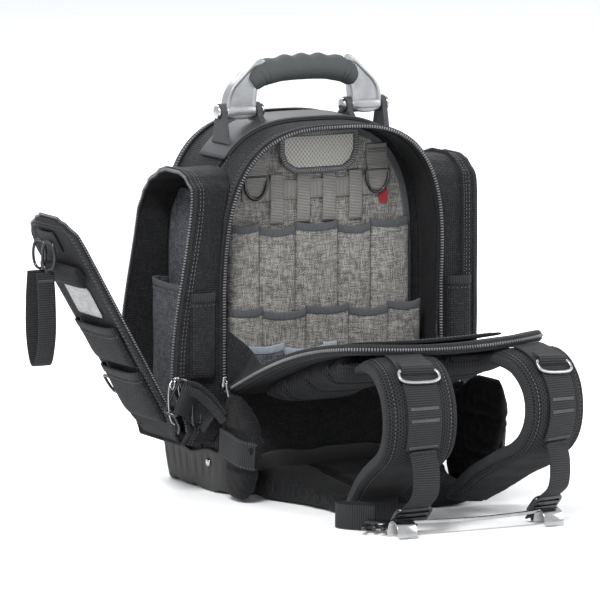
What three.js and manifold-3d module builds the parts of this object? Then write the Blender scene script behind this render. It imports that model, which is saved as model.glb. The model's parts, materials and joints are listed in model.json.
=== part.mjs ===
// Tool backpack standing on its moulded base, opened on the harness side.
// Millimetres, +Z up, origin at the centre of the base's underside, harness side towards -Y.
import * as THREE from 'three';
import { mergeVertices } from 'three/addons/utils/BufferGeometryUtils.js';
import Module from 'manifold-3d';

const wasm = await Module();
wasm.setup();

// Driving dimensions
const GAP = 0.3;
const BODY = { halfWidth: 128, spring: 210, top: 380, power: 3, wall: 3 };
const FRONT = { edge: -84, lean: 14, baseEdge: -95, baseRadius: 27 };
const REAR = { edge: 56, baseEdge: 66, baseTop: 66 };
const CENTRE_SHIFT = -(FRONT.baseEdge + REAR.baseEdge) / 2;
const DIVIDER = { front: -41, thickness: 4 };
const TRAY = { height: 47, wall: 3.5, floor: 4, taper: 5, clearance: 0.5 };
const OPENING = { bottom: 112 };
const RIM_RADIUS = 3;
const COVER = { depth: 17, wall: 3, bottom: 68 };
const ZIP = { width: 5, depth: 4 };
const REAR_ZIP = { proud: 2, width: 8, setback: 1 };
const HANDLE = {
  pivotX: 73, pivotY: -14, pivotZ: 390, pinRadius: 4, boreGap: 0.3, barrelRadius: 8, barrelHalf: 17,
  lugThickness: 6, lugGap: 0.5, armThickness: 14, gripHeight: 434, gripRadius: 15, gripHalf: 47,
};
const SADDLE = { thickness: 4, front: -42, rear: 14, footX: 104, steps: 20 };
const POCKET = {
  bottom: 52, top: 336, front: -82, rear: 46, wall: 3, mouthBottom: 66,
  leftFoot: 165, leftBelly: 182, leftTop: 157, bellyHeight: 125, right: 170, cover: 4,
};
const FLAP = { hingeX: -167, hingeZ: 63, tilt: 29, length: 265, thickness: 7, rearTaper: 24 };
const BOARD = { halfWidth: 110, spring: 225, top: 372, bottom: 50, thickness: 4 };
const PANEL = {
  hingeY: -84.6, tilt: 17, length: 280, thickness: 9, sag: 9, bow: 10, inset: 4.5, straight: 140, power: 4.5,
};
const LUMBAR = { rearY: -98.2, frontY: -262, height: 32 };
const STRAP = { padWidth: 78, padThickness: 18, webWidth: 38, webThickness: 2 };
const FLOOR_LOOP = {
  width: 25,
  route: [
    [-38, -305.2], [-39, -330], [-50, -349], [-72, -332], [-96, -310], [-112, -310], [-108, -328], [-88, -350],
  ],
};
const FLOOR_GAP = 0.2;
const BAR = { y: -394, z: 15, radius: 2, tabWidth: 22, tabThickness: 2, left: -81, right: 86 };

// Finishes
const black = { color: 0x202124, roughness: 0.9, metalness: 0 };
const webbing = { color: 0x2b2c30, roughness: 0.85, metalness: 0 };
const grey = { color: 0x77756f, roughness: 0.9, metalness: 0 };
const blueGrey = { color: 0x666c74, roughness: 0.8, metalness: 0 };
const plastic = { color: 0x1c1d1f, roughness: 0.55, metalness: 0 };
const cast = { color: 0x6e7378, roughness: 0.4, metalness: 0.8 };
const steel = { color: 0xb9bcbf, roughness: 0.3, metalness: 1 };
const rubber = { color: 0x2e3033, roughness: 0.7, metalness: 0 };
const pale = { color: 0x9a9a98, roughness: 0.8, metalness: 0 };

const model = new THREE.Group();

// Mesh building

function closedGeometry(points, triangles) {
  const flat = points.flatMap((p) => [p.x, p.y, p.z]);
  let volume = 0;
  for (const [a, b, c] of triangles) {
    volume += points[a].dot(new THREE.Vector3().crossVectors(points[b], points[c]));
  }
  const order = volume < 0 ? triangles.map(([a, b, c]) => [a, c, b]) : triangles;
  const geometry = new THREE.BufferGeometry();
  geometry.setAttribute('position', new THREE.Float32BufferAttribute(flat, 3));
  geometry.setIndex(order.flat());
  return geometry;
}

// Skin over rings of equal length; the ends are closed by a fan, or the last ring meets the first.
function loft(rings, loop = false) {
  const count = rings[0].length;
  const points = rings.flat();
  const triangles = [];
  const spans = loop ? rings.length : rings.length - 1;
  for (let i = 0; i < spans; i++) {
    const low = i * count;
    const high = ((i + 1) % rings.length) * count;
    for (let j = 0; j < count; j++) {
      const k = (j + 1) % count;
      triangles.push([low + j, low + k, high + k], [low + j, high + k, high + j]);
    }
  }
  if (!loop) {
    const ends = [[0, true], [(rings.length - 1) * count, false]];
    for (const [start, first] of ends) {
      const middle = new THREE.Vector3();
      for (let j = 0; j < count; j++) middle.add(points[start + j]);
      const hub = points.push(middle.divideScalar(count)) - 1;
      for (let j = 0; j < count; j++) {
        const a = start + j;
        const b = start + ((j + 1) % count);
        triangles.push(first ? [hub, b, a] : [hub, a, b]);
      }
    }
  }
  return closedGeometry(points, triangles);
}

function solidOf(geometry) {
  const plain = geometry.clone();
  plain.deleteAttribute('normal');
  plain.deleteAttribute('uv');
  const merged = mergeVertices(plain, 1e-4);
  return new wasm.Manifold(new wasm.Mesh({
    numProp: 3,
    vertProperties: new Float32Array(merged.attributes.position.array),
    triVerts: new Uint32Array(merged.index.array),
  }));
}

function geometryOf(solid) {
  const mesh = solid.getMesh();
  const geometry = new THREE.BufferGeometry();
  geometry.setAttribute('position', new THREE.Float32BufferAttribute(mesh.vertProperties, 3));
  geometry.setIndex(Array.from(mesh.triVerts));
  return geometry;
}

function cut(base, ...tools) {
  return geometryOf(tools.reduce((solid, tool) => solid.subtract(solidOf(tool)), solidOf(base)));
}

function join(base, ...others) {
  return geometryOf(others.reduce((solid, other) => solid.add(solidOf(other)), solidOf(base)));
}

function add(name, geometry, finish) {
  const mesh = new THREE.Mesh(geometry, new THREE.MeshStandardMaterial(finish));
  mesh.name = name;
  model.add(mesh);
}

function vec(x, y, z) {
  return new THREE.Vector3(x, y, z);
}

function block(x0, x1, y0, y1, z0, z1) {
  const ring = (z) => [vec(x0, y0, z), vec(x1, y0, z), vec(x1, y1, z), vec(x0, y1, z)];
  return loft([ring(z0), ring(z1)]);
}

// Straight round bar from a to b
function rod(a, b, radius, sides = 16) {
  const along = b.clone().sub(a).normalize();
  const side = Math.abs(along.z) < 0.9 ? vec(0, 0, 1) : vec(1, 0, 0);
  const u = side.cross(along).normalize();
  const v = along.clone().cross(u);
  const ring = (centre) => Array.from({ length: sides }, (_, i) => {
    const angle = (i / sides) * 2 * Math.PI;
    const point = centre.clone().addScaledVector(u, radius * Math.cos(angle));
    return point.addScaledVector(v, radius * Math.sin(angle));
  });
  return loft([ring(a), ring(b)]);
}

const rectangle = (width, height) => [
  [-width / 2, -height / 2], [width / 2, -height / 2], [width / 2, height / 2], [-width / 2, height / 2],
];

// Rectangle with crowned faces and rounded ends, for padded strips
const padSection = (width, height) => {
  const w = width / 2;
  const h = height / 2;
  return [[-w, 0], [-w * 0.93, -h * 0.75], [-w * 0.5, -h], [w * 0.5, -h], [w * 0.93, -h * 0.75],
    [w, 0], [w * 0.93, h * 0.75], [w * 0.5, h], [-w * 0.5, h], [-w * 0.93, h * 0.75]];
};

const circle = (radius, sides = 8) => Array.from({ length: sides }, (_, i) => {
  const angle = ((i + 0.5) / sides) * 2 * Math.PI;
  return [radius * Math.cos(angle), radius * Math.sin(angle)];
});

// Section carried along points; its first axis is the given width direction, made square to the path.
function sweep(points, widthAt, sectionAt, loop = false) {
  const count = points.length;
  const rings = points.map((point, i) => {
    const before = points[loop ? (i + count - 1) % count : Math.max(i - 1, 0)];
    const after = points[loop ? (i + 1) % count : Math.min(i + 1, count - 1)];
    const tangent = after.clone().sub(before).normalize();
    const wide = widthAt(i, point).clone();
    wide.addScaledVector(tangent, -wide.dot(tangent)).normalize();
    const thick = tangent.clone().cross(wide);
    return sectionAt(i).map(([u, v]) => point.clone().addScaledVector(wide, u).addScaledVector(thick, v));
  });
  return loft(rings, loop);
}

function smooth(points, steps) {
  return new THREE.CatmullRomCurve3(points, false, 'centripetal').getSpacedPoints(steps);
}

// Value read from a list of [at, value] pairs, eased between them
function eased(pairs, at) {
  if (at <= pairs[0][0]) return pairs[0][1];
  for (let i = 1; i < pairs.length; i++) {
    if (at <= pairs[i][0]) {
      const t = (at - pairs[i - 1][0]) / (pairs[i][0] - pairs[i - 1][0]);
      return pairs[i - 1][1] + (pairs[i][1] - pairs[i - 1][1]) * t * t * (3 - 2 * t);
    }
  }
  return pairs[pairs.length - 1][1];
}

// Body outline: straight sides, then a squared arch

function archHalf(z, halfWidth, spring, top) {
  if (z <= spring) return halfWidth;
  const rise = Math.min((z - spring) / (top - spring), 1);
  return halfWidth * (1 - rise ** BODY.power) ** (1 / BODY.power);
}

const ARCH_SHARES = [0.25, 0.45, 0.6, 0.72, 0.82, 0.9, 0.95, 0.985, 0.998];

function archLevels(spring, top) {
  return [spring, ...ARCH_SHARES.map((share) => spring + share * (top - spring))];
}

const baseTaper = (z) => (z < TRAY.height ? TRAY.taper * (1 - z / TRAY.height) ** 1.5 : 0);
const bodyHalf = (z, inset = 0) => (
  archHalf(z, BODY.halfWidth - inset, BODY.spring, BODY.top - inset) - baseTaper(z)
);

const frontEdge = (z) => {
  const lower = eased([[TRAY.height, FRONT.baseEdge], [OPENING.bottom, FRONT.edge]], z);
  const lean = FRONT.lean * Math.max(0, (z - BODY.spring) / (BODY.top - BODY.spring));
  return lower - lean + baseTaper(z);
};

const rearEdge = (z) => eased([[TRAY.height + 1, REAR.baseEdge], [REAR.baseTop, REAR.edge]], z) - baseTaper(z);
const baseRadius = (z) => eased([[TRAY.height, FRONT.baseRadius], [OPENING.bottom, RIM_RADIUS]], z);
const rearRadius = (z) => eased([[TRAY.height, FRONT.baseRadius], [REAR.baseTop, RIM_RADIUS]], z);

const CORNER_STEPS = 4;

function cornerArc(cx, cy, radius, start) {
  return Array.from({ length: CORNER_STEPS }, (_, i) => {
    const angle = start + (i / (CORNER_STEPS - 1)) * (Math.PI / 2);
    return [cx + radius * Math.cos(angle), cy + radius * Math.sin(angle)];
  });
}

// Level ring, anticlockwise from the front left; a radius of 0 leaves that pair of corners square.
function levelRing(z, half, front, rear, frontRadius, backRadius) {
  const ring = [];
  if (frontRadius > 0) {
    ring.push(...cornerArc(-half + frontRadius, front + frontRadius, frontRadius, Math.PI));
    ring.push(...cornerArc(half - frontRadius, front + frontRadius, frontRadius, 1.5 * Math.PI));
  } else {
    ring.push([-half, front], [half, front]);
  }
  if (backRadius > 0) {
    ring.push(...cornerArc(half - backRadius, rear - backRadius, backRadius, 0));
    ring.push(...cornerArc(-half + backRadius, rear - backRadius, backRadius, 0.5 * Math.PI));
  } else {
    ring.push([half, rear], [-half, rear]);
  }
  return ring.map(([x, y]) => vec(x, y, z));
}

const shellBottom = TRAY.floor + GAP;

// Moulded base tray

function buildTray() {
  const levels = [0, 4, 12, 24, 36, TRAY.height];
  const outset = TRAY.clearance + TRAY.wall;
  const outer = loft(levels.map((z) => levelRing(
    z, bodyHalf(z) + outset, frontEdge(z) - outset, rearEdge(z) + outset,
    FRONT.baseRadius + outset, FRONT.baseRadius + outset,
  )));
  const room = TRAY.clearance;
  const innerLevels = [TRAY.floor, 12, 24, 36, TRAY.height, TRAY.height + 5];
  const inner = loft(innerLevels.map((z) => levelRing(
    z, bodyHalf(z) + room, frontEdge(Math.min(z, TRAY.height)) - room,
    rearEdge(Math.min(z, TRAY.height)) + room, FRONT.baseRadius + room, FRONT.baseRadius + room,
  )));
  add('base_tray', cut(outer, inner), plastic);
}

// Fabric shells of the two compartments and the stiff divider between them

const bodyLevels = (bottom, inset) => [
  bottom, 24, TRAY.height, 66, 86, OPENING.bottom, 160, ...archLevels(BODY.spring, BODY.top - inset),
];

function buildShells() {
  const w = BODY.wall;
  const back = DIVIDER.front - GAP;
  const rearStart = DIVIDER.front + DIVIDER.thickness + GAP;
  const beyond = 40;
  const frontOuter = loft(bodyLevels(shellBottom, 0).map((z) => (
    levelRing(z, bodyHalf(z), frontEdge(z), back, baseRadius(z), 0))));
  const frontInner = loft(bodyLevels(shellBottom + w, w).map((z) => (
    levelRing(z, bodyHalf(z, w), frontEdge(z) + w, back + beyond, Math.max(baseRadius(z) - w, 0.5), 0))));
  const mouth = loft([OPENING.bottom, 160, ...archLevels(BODY.spring, BODY.top - w)].map((z) => (
    levelRing(z, bodyHalf(z, w), FRONT.edge - beyond, FRONT.edge + beyond / 2, 0, 0))));
  add('front_shell', cut(frontOuter, frontInner, mouth), black);

  const rearOuter = loft(bodyLevels(shellBottom, 0).map((z) => (
    levelRing(z, bodyHalf(z), rearStart, rearEdge(z), 0, rearRadius(z)))));
  const rearInner = loft(bodyLevels(shellBottom + w, w).map((z) => (
    levelRing(z, bodyHalf(z, w), rearStart - beyond, rearEdge(z) - w, 0, Math.max(rearRadius(z) - w, 0.5)))));
  const rearMouth = loft([COVER.bottom, 160, ...archLevels(BODY.spring, BODY.top - w)].map((z) => (
    levelRing(z, bodyHalf(z, w), REAR.edge - beyond / 2, REAR.edge + beyond, 0, 0))));
  add('rear_shell', cut(rearOuter, rearInner, rearMouth), black);

  const divider = loft(bodyLevels(shellBottom, 1).map((z) => (
    levelRing(z, bodyHalf(z, 1), DIVIDER.front, DIVIDER.front + DIVIDER.thickness, 0, 0))));
  add('divider', divider, black);
}

// Outline of the arch in the XZ plane, from bottom left over the top to bottom right
function archOutline(inset, bottom, straight = 3) {
  const half = BODY.halfWidth - inset;
  const top = BODY.top - inset;
  const side = [];
  for (let i = 0; i < straight; i++) side.push([half, bottom + (i / straight) * (BODY.spring - bottom)]);
  for (const z of archLevels(BODY.spring, top)) side.push([archHalf(z, half, BODY.spring, top), z]);
  const left = side.map(([x, z]) => [-x, z]);
  return [...left, ...side.reverse()];
}

// Domed cover of the rear compartment
function buildRearCover() {
  const start = REAR.edge + GAP;
  const shares = [[0, 0], [0.45, 0.5], [0.8, 4], [0.95, 13], [1, 26]];
  const ringAt = (y, inset, lift) => archOutline(inset, COVER.bottom + lift).map(([x, z]) => vec(x, y, z));
  const outer = loft(shares.map(([share, inset]) => ringAt(start + share * COVER.depth, inset, inset)));
  const hollow = COVER.depth - COVER.wall;
  const inner = loft([ringAt(start - 2, COVER.wall, COVER.wall),
    ...shares.map(([share, inset]) => ringAt(start + share * hollow, inset + COVER.wall, inset + COVER.wall))]);
  add('rear_cover', cut(outer, inner), black);
}

// Arch path with its outward direction, for bands that follow the outline
function archPath(inset, bottom) {
  const points = archOutline(inset, bottom, 4);
  return points.map(([x, z], i) => {
    const [ax, az] = points[Math.max(i - 1, 0)];
    const [bx, bz] = points[Math.min(i + 1, points.length - 1)];
    return { x, z, out: vec(-(bz - az), 0, bx - ax).normalize() };
  });
}

function buildZips() {
  const front = archPath(BODY.wall / 2, OPENING.bottom + 3);
  const lead = GAP + ZIP.depth / 2;
  add('front_zip', sweep(
    front.map(({ x, z }) => vec(x, frontEdge(z) - lead, z)),
    (i) => front[i].out, () => rectangle(ZIP.width, ZIP.depth),
  ), webbing);
  const rear = archPath(-(GAP + REAR_ZIP.proud / 2), COVER.bottom + 12);
  const rearY = REAR.edge - REAR_ZIP.setback - REAR_ZIP.width / 2;
  add('rear_zip', sweep(
    rear.map(({ x, z }) => vec(x, rearY, z)),
    (i) => rear[i].out, () => rectangle(REAR_ZIP.proud, REAR_ZIP.width),
  ), webbing);
}

// Saddle plate over the arch, with a pair of lugs for each handle arm
function buildSaddle() {
  const lift = GAP + SADDLE.thickness / 2;
  const middle = (SADDLE.front + SADDLE.rear) / 2;
  const width = SADDLE.rear - SADDLE.front;
  const path = Array.from({ length: SADDLE.steps + 1 }, (_, i) => {
    const x = SADDLE.footX * (-1 + (2 * i) / SADDLE.steps);
    return vec(x, middle, archHeight(x) + lift);
  });
  const plate = sweep(path, () => vec(0, 1, 0), () => rectangle(width, SADDLE.thickness + 3));
  const lugs = [];
  const inside = HANDLE.barrelHalf + HANDLE.lugGap;
  for (const side of [-1, 1]) {
    for (const reach of [-1, 1]) {
      const near = side * HANDLE.pivotX + reach * inside;
      const far = near + reach * HANDLE.lugThickness;
      const foot = archHeight(near) + GAP + SADDLE.thickness / 2;
      const ring = (x) => lugOutline(foot).map(([y, z]) => vec(x, y, z));
      lugs.push(loft([ring(near), ring(far)]));
    }
  }
  const pinHoles = [-1, 1].map((side) => {
    const reach = inside + HANDLE.lugThickness + 1;
    return rod(vec(side * HANDLE.pivotX - reach, HANDLE.pivotY, HANDLE.pivotZ),
      vec(side * HANDLE.pivotX + reach, HANDLE.pivotY, HANDLE.pivotZ), HANDLE.pinRadius + HANDLE.boreGap);
  });
  const arch = archSolid(GAP);
  const barrels = [-1, 1].map((side) => rod(
    vec(side * HANDLE.pivotX - inside, HANDLE.pivotY, HANDLE.pivotZ),
    vec(side * HANDLE.pivotX + inside, HANDLE.pivotY, HANDLE.pivotZ), HANDLE.barrelRadius + 1,
  ));
  add('handle_saddle', cut(join(plate, ...lugs), arch, ...pinHoles, ...barrels), plastic);
}

// Height of the arch's outer face over a given x
function archHeight(x) {
  const share = Math.min(Math.abs(x) / BODY.halfWidth, 1);
  return BODY.spring + (BODY.top - BODY.spring) * (1 - share ** BODY.power) ** (1 / BODY.power);
}

function lugOutline(foot) {
  const { pivotY, pivotZ, barrelRadius } = HANDLE;
  const round = barrelRadius + 1;
  const ring = [[pivotY - 20, foot], [pivotY - round, pivotZ - 2]];
  for (let i = 0; i <= 6; i++) {
    const angle = Math.PI - (i / 6) * Math.PI;
    ring.push([pivotY + round * Math.cos(angle), pivotZ + round * Math.sin(angle)]);
  }
  ring.push([pivotY + round, pivotZ - 2], [pivotY + 20, foot]);
  return ring;
}

function archSolid(outset) {
  const levels = [100, ...archLevels(BODY.spring, BODY.top + outset)];
  return loft(levels.map((z) => levelRing(
    z, archHalf(z, BODY.halfWidth + outset, BODY.spring, BODY.top + outset), -90, 90, 0, 0,
  )));
}

// Carrying handle: two cast arms on pins, and a rubber grip
function buildHandle() {
  const { pivotX, pivotY, pivotZ, armThickness, barrelRadius, barrelHalf } = HANDLE;
  const gripBottom = HANDLE.gripHeight - HANDLE.gripRadius;
  for (const side of [-1, 1]) {
    const name = side < 0 ? 'left' : 'right';
    const outline = [
      [-17, 2], [-16, 14], [-11, 26], [-2, 36], [8, 46], [20, 54],
      [28, 52], [26, 40], [21, 30], [17, 22], [17, 2],
    ];
    const ring = (y) => outline.map(([x, z]) => vec(side * (pivotX - x), y, pivotZ + z));
    const arm = loft([ring(pivotY - armThickness / 2), ring(pivotY + armThickness / 2)]);
    const barrel = rod(vec(side * pivotX - barrelHalf, pivotY, pivotZ),
      vec(side * pivotX + barrelHalf, pivotY, pivotZ), barrelRadius);
    const inside = barrelHalf + HANDLE.lugGap;
    const bore = rod(vec(side * pivotX - inside, pivotY, pivotZ),
      vec(side * pivotX + inside, pivotY, pivotZ), HANDLE.pinRadius + HANDLE.boreGap);
    add(`handle_arm_${name}`, cut(join(arm, barrel), bore), cast);
    const end = inside + HANDLE.lugThickness;
    const head = HANDLE.pinRadius + 2.5;
    const pin = rod(vec(side * pivotX - end, pivotY, pivotZ), vec(side * pivotX + end, pivotY, pivotZ),
      HANDLE.pinRadius);
    const heads = [-1, 1].map((way) => rod(
      vec(side * pivotX + way * (end + GAP), pivotY, pivotZ),
      vec(side * pivotX + way * (end + GAP + 3), pivotY, pivotZ), head, 6,
    ));
    const necks = [-1, 1].map((way) => rod(
      vec(side * pivotX + way * (end - 1), pivotY, pivotZ),
      vec(side * pivotX + way * (end + GAP + 1), pivotY, pivotZ), HANDLE.pinRadius,
    ));
    add(`handle_pin_${name}`, join(pin, ...heads, ...necks), steel);
  }
  const stations = [[-1.28, -13, 0.62], [-1.15, -6, 0.8], [-1, -1, 0.95], [-0.6, 3, 1], [-0.2, 4, 1.02],
    [0.2, 4, 1.02], [0.6, 3, 1], [1, -1, 0.95], [1.15, -6, 0.8], [1.28, -13, 0.62]];
  const grip = sweep(
    stations.map(([share, lift]) => vec(share * HANDLE.gripHalf, pivotY, HANDLE.gripHeight - 5 + lift)),
    () => vec(0, 1, 0),
    (i) => circle(HANDLE.gripRadius * stations[i][2], 14).map(([u, v]) => [u * 1.15, v]),
  );
  const armSolids = model.children.filter((mesh) => mesh.name.startsWith('handle_arm'));
  const room = armSolids.map((mesh) => {
    const side = mesh.name.endsWith('left') ? -1 : 1;
    const half = armThickness / 2 + GAP;
    const x0 = pivotX - 30;
    return block(...(side < 0 ? [-pivotX - 30, -x0 + 2] : [x0 - 2, pivotX + 30]),
      pivotY - half, pivotY + half, gripBottom - 40, pivotZ + 54 + GAP);
  });
  add('handle_grip', cut(grip, ...room), rubber);
}

// Side pockets: a gusset that follows one outline on both sides of the bag

const pocketFront = (z) => eased([[POCKET.bottom, POCKET.front + 16], [POCKET.bottom + 20, POCKET.front],
  [300, POCKET.front], [318, POCKET.front + 2], [331, POCKET.front + 18], [POCKET.top, POCKET.front + 34]], z);
const pocketRear = (z) => eased([[POCKET.bottom, POCKET.rear - 12], [POCKET.bottom + 20, POCKET.rear],
  [285, POCKET.rear], [305, POCKET.rear - 8], [318, POCKET.rear - 19], [331, POCKET.rear - 42],
  [POCKET.top, POCKET.rear - 60]], z);
const leftOut = (z) => eased([[POCKET.bottom, POCKET.leftFoot], [POCKET.mouthBottom, POCKET.leftFoot],
  [POCKET.bellyHeight, POCKET.leftBelly], [POCKET.top, POCKET.leftTop]], z);
const rightOut = (z) => eased([[POCKET.bottom, POCKET.right - 8], [POCKET.bottom + 30, POCKET.right]], z);
const POCKET_LEVELS = [52, 57, 66, 74, 90, 125, 160, 186, 210, 235, 260, 285, 299, 309, 318, 326, 331, 336];

// Level ring of a pocket between two distances from the bag's middle
function pocketRing(z, side, near, far, inset) {
  const y0 = pocketFront(z) + inset;
  const y1 = pocketRear(z) - inset;
  return [vec(side * near, y0, z), vec(side * (far - 2), y0, z), vec(side * far, y0 + 2, z),
    vec(side * far, y1 - 2, z), vec(side * (far - 2), y1, z), vec(side * near, y1, z)];
}

const pocketNear = (z) => bodyHalf(z) + GAP;

function pocketGusset(side, outAt) {
  const w = POCKET.wall;
  const squeeze = (z) => POCKET.bottom + w + ((z - POCKET.bottom) * (POCKET.top - POCKET.bottom - 2 * w))
    / (POCKET.top - POCKET.bottom);
  const outer = loft(POCKET_LEVELS.map((z) => pocketRing(z, side, pocketNear(z), outAt(z), 0)));
  const inner = loft(POCKET_LEVELS.map((z) => {
    const ring = pocketRing(z, side, pocketNear(squeeze(z)) - 30, outAt(z) - w, w);
    return ring.map((point) => point.setZ(squeeze(z)));
  }));
  const mouth = loft(POCKET_LEVELS.filter((z) => z >= POCKET.mouthBottom).map((z) => {
    const ring = pocketRing(z, side, pocketNear(z) + 10, outAt(z) + 30, w);
    return ring.map((point) => point.setZ(squeeze(z)));
  }));
  return cut(outer, inner, mouth);
}

function buildPockets() {
  add('left_pocket', pocketGusset(-1, leftOut), black);
  add('right_pocket', pocketGusset(1, rightOut), black);
  const w = POCKET.wall;
  const liningLevels = POCKET_LEVELS.filter((z) => z >= 74 && z <= 309);
  const room = w + 2;
  add('left_lining', loft(liningLevels.map((z) => {
    const near = pocketNear(z);
    return [vec(-near, pocketFront(z) + room, z), vec(-near - 2, pocketFront(z) + room, z),
      vec(-near - 2, pocketRear(z) - room - 4, z), vec(-near, pocketRear(z) - room - 4, z)];
  })), blueGrey);
  const coverAt = (z) => rightOut(z) + GAP;
  add('right_cover', loft(POCKET_LEVELS.map((z) => (
    pocketRing(z, 1, coverAt(z), coverAt(z) + POCKET.cover, 0.5)))), black);

  const innerTop = 215;
  const lining = BODY.halfWidth + GAP + 2 + GAP;
  const pouch = block(-lining - 26, -lining, -76, 34, 76, innerTop);
  const hollow = block(-lining - 24, -lining - 2, -74, 32, 79, innerTop + 5);
  add('left_inner_pocket', cut(pouch, hollow), blueGrey);

  for (const side of [-1, 1]) {
    const x0 = side < 0 ? -BODY.halfWidth - 35 : BODY.halfWidth + 8;
    const front = POCKET.front - GAP;
    const sleeve = block(x0, x0 + 26, front - 8, front, 123, 211);
    const slot = block(x0 + 1.5, x0 + 24.5, front - 6.5, front - 1.2, 126, 215);
    add(side < 0 ? 'pen_pocket_left' : 'pen_pocket_right', cut(sleeve, slot), webbing);
  }
}

// Left flap, unzipped and folded outwards; v runs up the flap from its hinge
const flapTilt = THREE.MathUtils.degToRad(FLAP.tilt);
const flapPoint = (y, v, depth) => vec(
  FLAP.hingeX - v * Math.sin(flapTilt) - depth * Math.cos(flapTilt),
  y,
  FLAP.hingeZ + v * Math.cos(flapTilt) - depth * Math.sin(flapTilt),
);
const flapRear = (v) => pocketRear(flapHeight(v)) + 4 - FLAP.rearTaper * (1 - v / FLAP.length);
const flapHeight = (v) => POCKET.bottom + (v / FLAP.length) * (POCKET.top - POCKET.bottom);
const FLAP_STEPS = [0, 0.03, 0.07, 0.15, 0.3, 0.45, 0.6, 0.72, 0.8, 0.86, 0.9, 0.94, 0.965, 0.985, 1].map(
  (share) => share * FLAP.length,
);

function flapSlab(y0, y1, v0, v1, near, far, taper = 0) {
  const ring = (depth, inset) => [[y0 + inset, v0 + inset], [y1 - inset, v0 + inset],
    [y1 - inset, v1 - inset], [y0 + inset, v1 - inset]].map(([y, v]) => flapPoint(y, v, depth));
  return loft([ring(near, 0), ring(near + (far - near) * 0.6, 0), ring(far, taper)]);
}

function buildFlap() {
  const slab = (margin) => loft(FLAP_STEPS.map((v, i) => {
    const y0 = pocketFront(flapHeight(v)) - margin;
    const y1 = flapRear(v) + margin;
    const reach = i === FLAP_STEPS.length - 1 ? v + margin : v;
    return [[y0, -margin], [y1, -margin], [y1, FLAP.thickness + margin], [y0, FLAP.thickness + margin]]
      .map(([y, depth]) => flapPoint(y, reach, depth));
  }));
  add('left_flap', slab(0), black);
  const edge = [];
  for (const v of FLAP_STEPS) edge.push([pocketFront(flapHeight(v)) - GAP - 1.6, v]);
  for (const v of [...FLAP_STEPS].reverse()) edge.push([flapRear(v) + GAP + 1.6, v]);
  const crown = FLAP.length + GAP + 1.6;
  const edgeLine = edge.map(([y, v]) => [y, v >= FLAP.length - 1 ? crown : v]);
  const middle = FLAP.thickness / 2 - 1;
  const normal = vec(Math.cos(flapTilt), 0, Math.sin(flapTilt));
  const chain = sweep(
    edgeLine.slice(1, -1).map(([y, v]) => flapPoint(y, v, middle)), () => normal, () => rectangle(4.5, 2.6),
  );
  add('flap_zip', cut(chain, slab(GAP + 0.25)), webbing);
  const face = FLAP.thickness + GAP;
  add('flap_roll', flapSlab(-62, 24, 190, 214, face, face + 15, 5), black);
  add('flap_label', flapSlab(-46, 14, 146, 184, face, face + 1.2), pale);
  add('flap_pocket_upper', flapSlab(-66, 22, 90, 138, face, face + 9, 3), black);
  add('flap_pocket_lower', flapSlab(-70, 14, 22, 84, face, face + 10, 3), black);
}

// Loop on the flap with two clip rings and the strap that hangs from them
function ringLoop(centre, across, up, halfA, halfB, radius, sides = 20, corner = 2) {
  const points = Array.from({ length: sides }, (_, i) => {
    const angle = (i / sides) * 2 * Math.PI;
    const c = Math.cos(angle);
    const s = Math.sin(angle);
    const u = halfA * Math.sign(c) * Math.abs(c) ** (2 / corner);
    const v = halfB * Math.sign(s) * Math.abs(s) ** (2 / corner);
    return centre.clone().addScaledVector(across, u).addScaledVector(up, v);
  });
  const normal = across.clone().cross(up).normalize();
  return sweep(points, () => normal, () => circle(radius, 6), true);
}

function buildClipStrap() {
  const up = vec(0, 0, 1);
  const across = vec(0.35, -0.94, 0).normalize();
  const face = FLAP.thickness + GAP;
  const tab = 4;
  const wire = 1.6;
  const ringHalf = 15;
  add('flap_loop', flapSlab(-34, 6, 226, 252, face, face + tab, 1), webbing);
  const ends = [-24, -2].map((y) => flapPoint(y, 242, face + tab + GAP + wire + 1));
  const names = ['clip_ring_front', 'clip_ring_rear'];
  ends.forEach((top, i) => {
    add(names[i], ringLoop(top.clone().add(vec(0, 0, -ringHalf)), across, up, 9, ringHalf, wire), plastic);
  });
  const drop = -2 * ringHalf - wire - GAP;
  const [front, rear] = ends.map((top) => top.clone().add(vec(0, 0, drop)));
  const strand = [front, front.clone().add(vec(0, -4, -30)), front.clone().add(vec(0, -4, -66)),
    front.clone().add(vec(0, 5, -94)), rear.clone().add(vec(0, -5, -94)), rear.clone().add(vec(0, 4, -66)),
    rear.clone().add(vec(0, 4, -30)), rear];
  const strandPath = smooth(strand.map((p) => p.add(vec(-4, 0, 0))), 26);
  add('tape_strap', sweep(strandPath, () => vec(1, 0, 0), () => rectangle(20, 2)), webbing);
  add('flap_ring', ringLoop(flapPoint(flapRear(54) - 4.6, 54, face + 1.3), vec(0, 1, 0),
    vec(-Math.sin(flapTilt), 0, Math.cos(flapTilt)), 10, 9, 1.6), plastic);
}

// Tool board with pouches, on the divider's front

function boardHalf(z) {
  return archHalf(z, BOARD.halfWidth, BOARD.spring, BOARD.top);
}

function pocketRow(name, x0, x1, y0, y1, z0, z1, walls, finish) {
  const w = 1.6;
  const outer = block(x0, x1, y0, y1, z0, z1);
  const stops = [x0 + w, ...walls, x1 - w];
  const hollows = [];
  for (let i = 0; i + 1 < stops.length; i++) {
    const left = i === 0 ? stops[0] : stops[i] + w / 2;
    const right = i + 2 === stops.length ? stops[i + 1] : stops[i + 1] - w / 2;
    hollows.push(block(left, right, y0 + w, y1 - w, z0 + w, z1 + 5));
  }
  add(name, cut(outer, ...hollows), finish);
}

const TIER = [{ depth: 14, top: 276 }, { depth: 12, top: 190 }, { depth: 8, top: 152 }];

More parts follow.
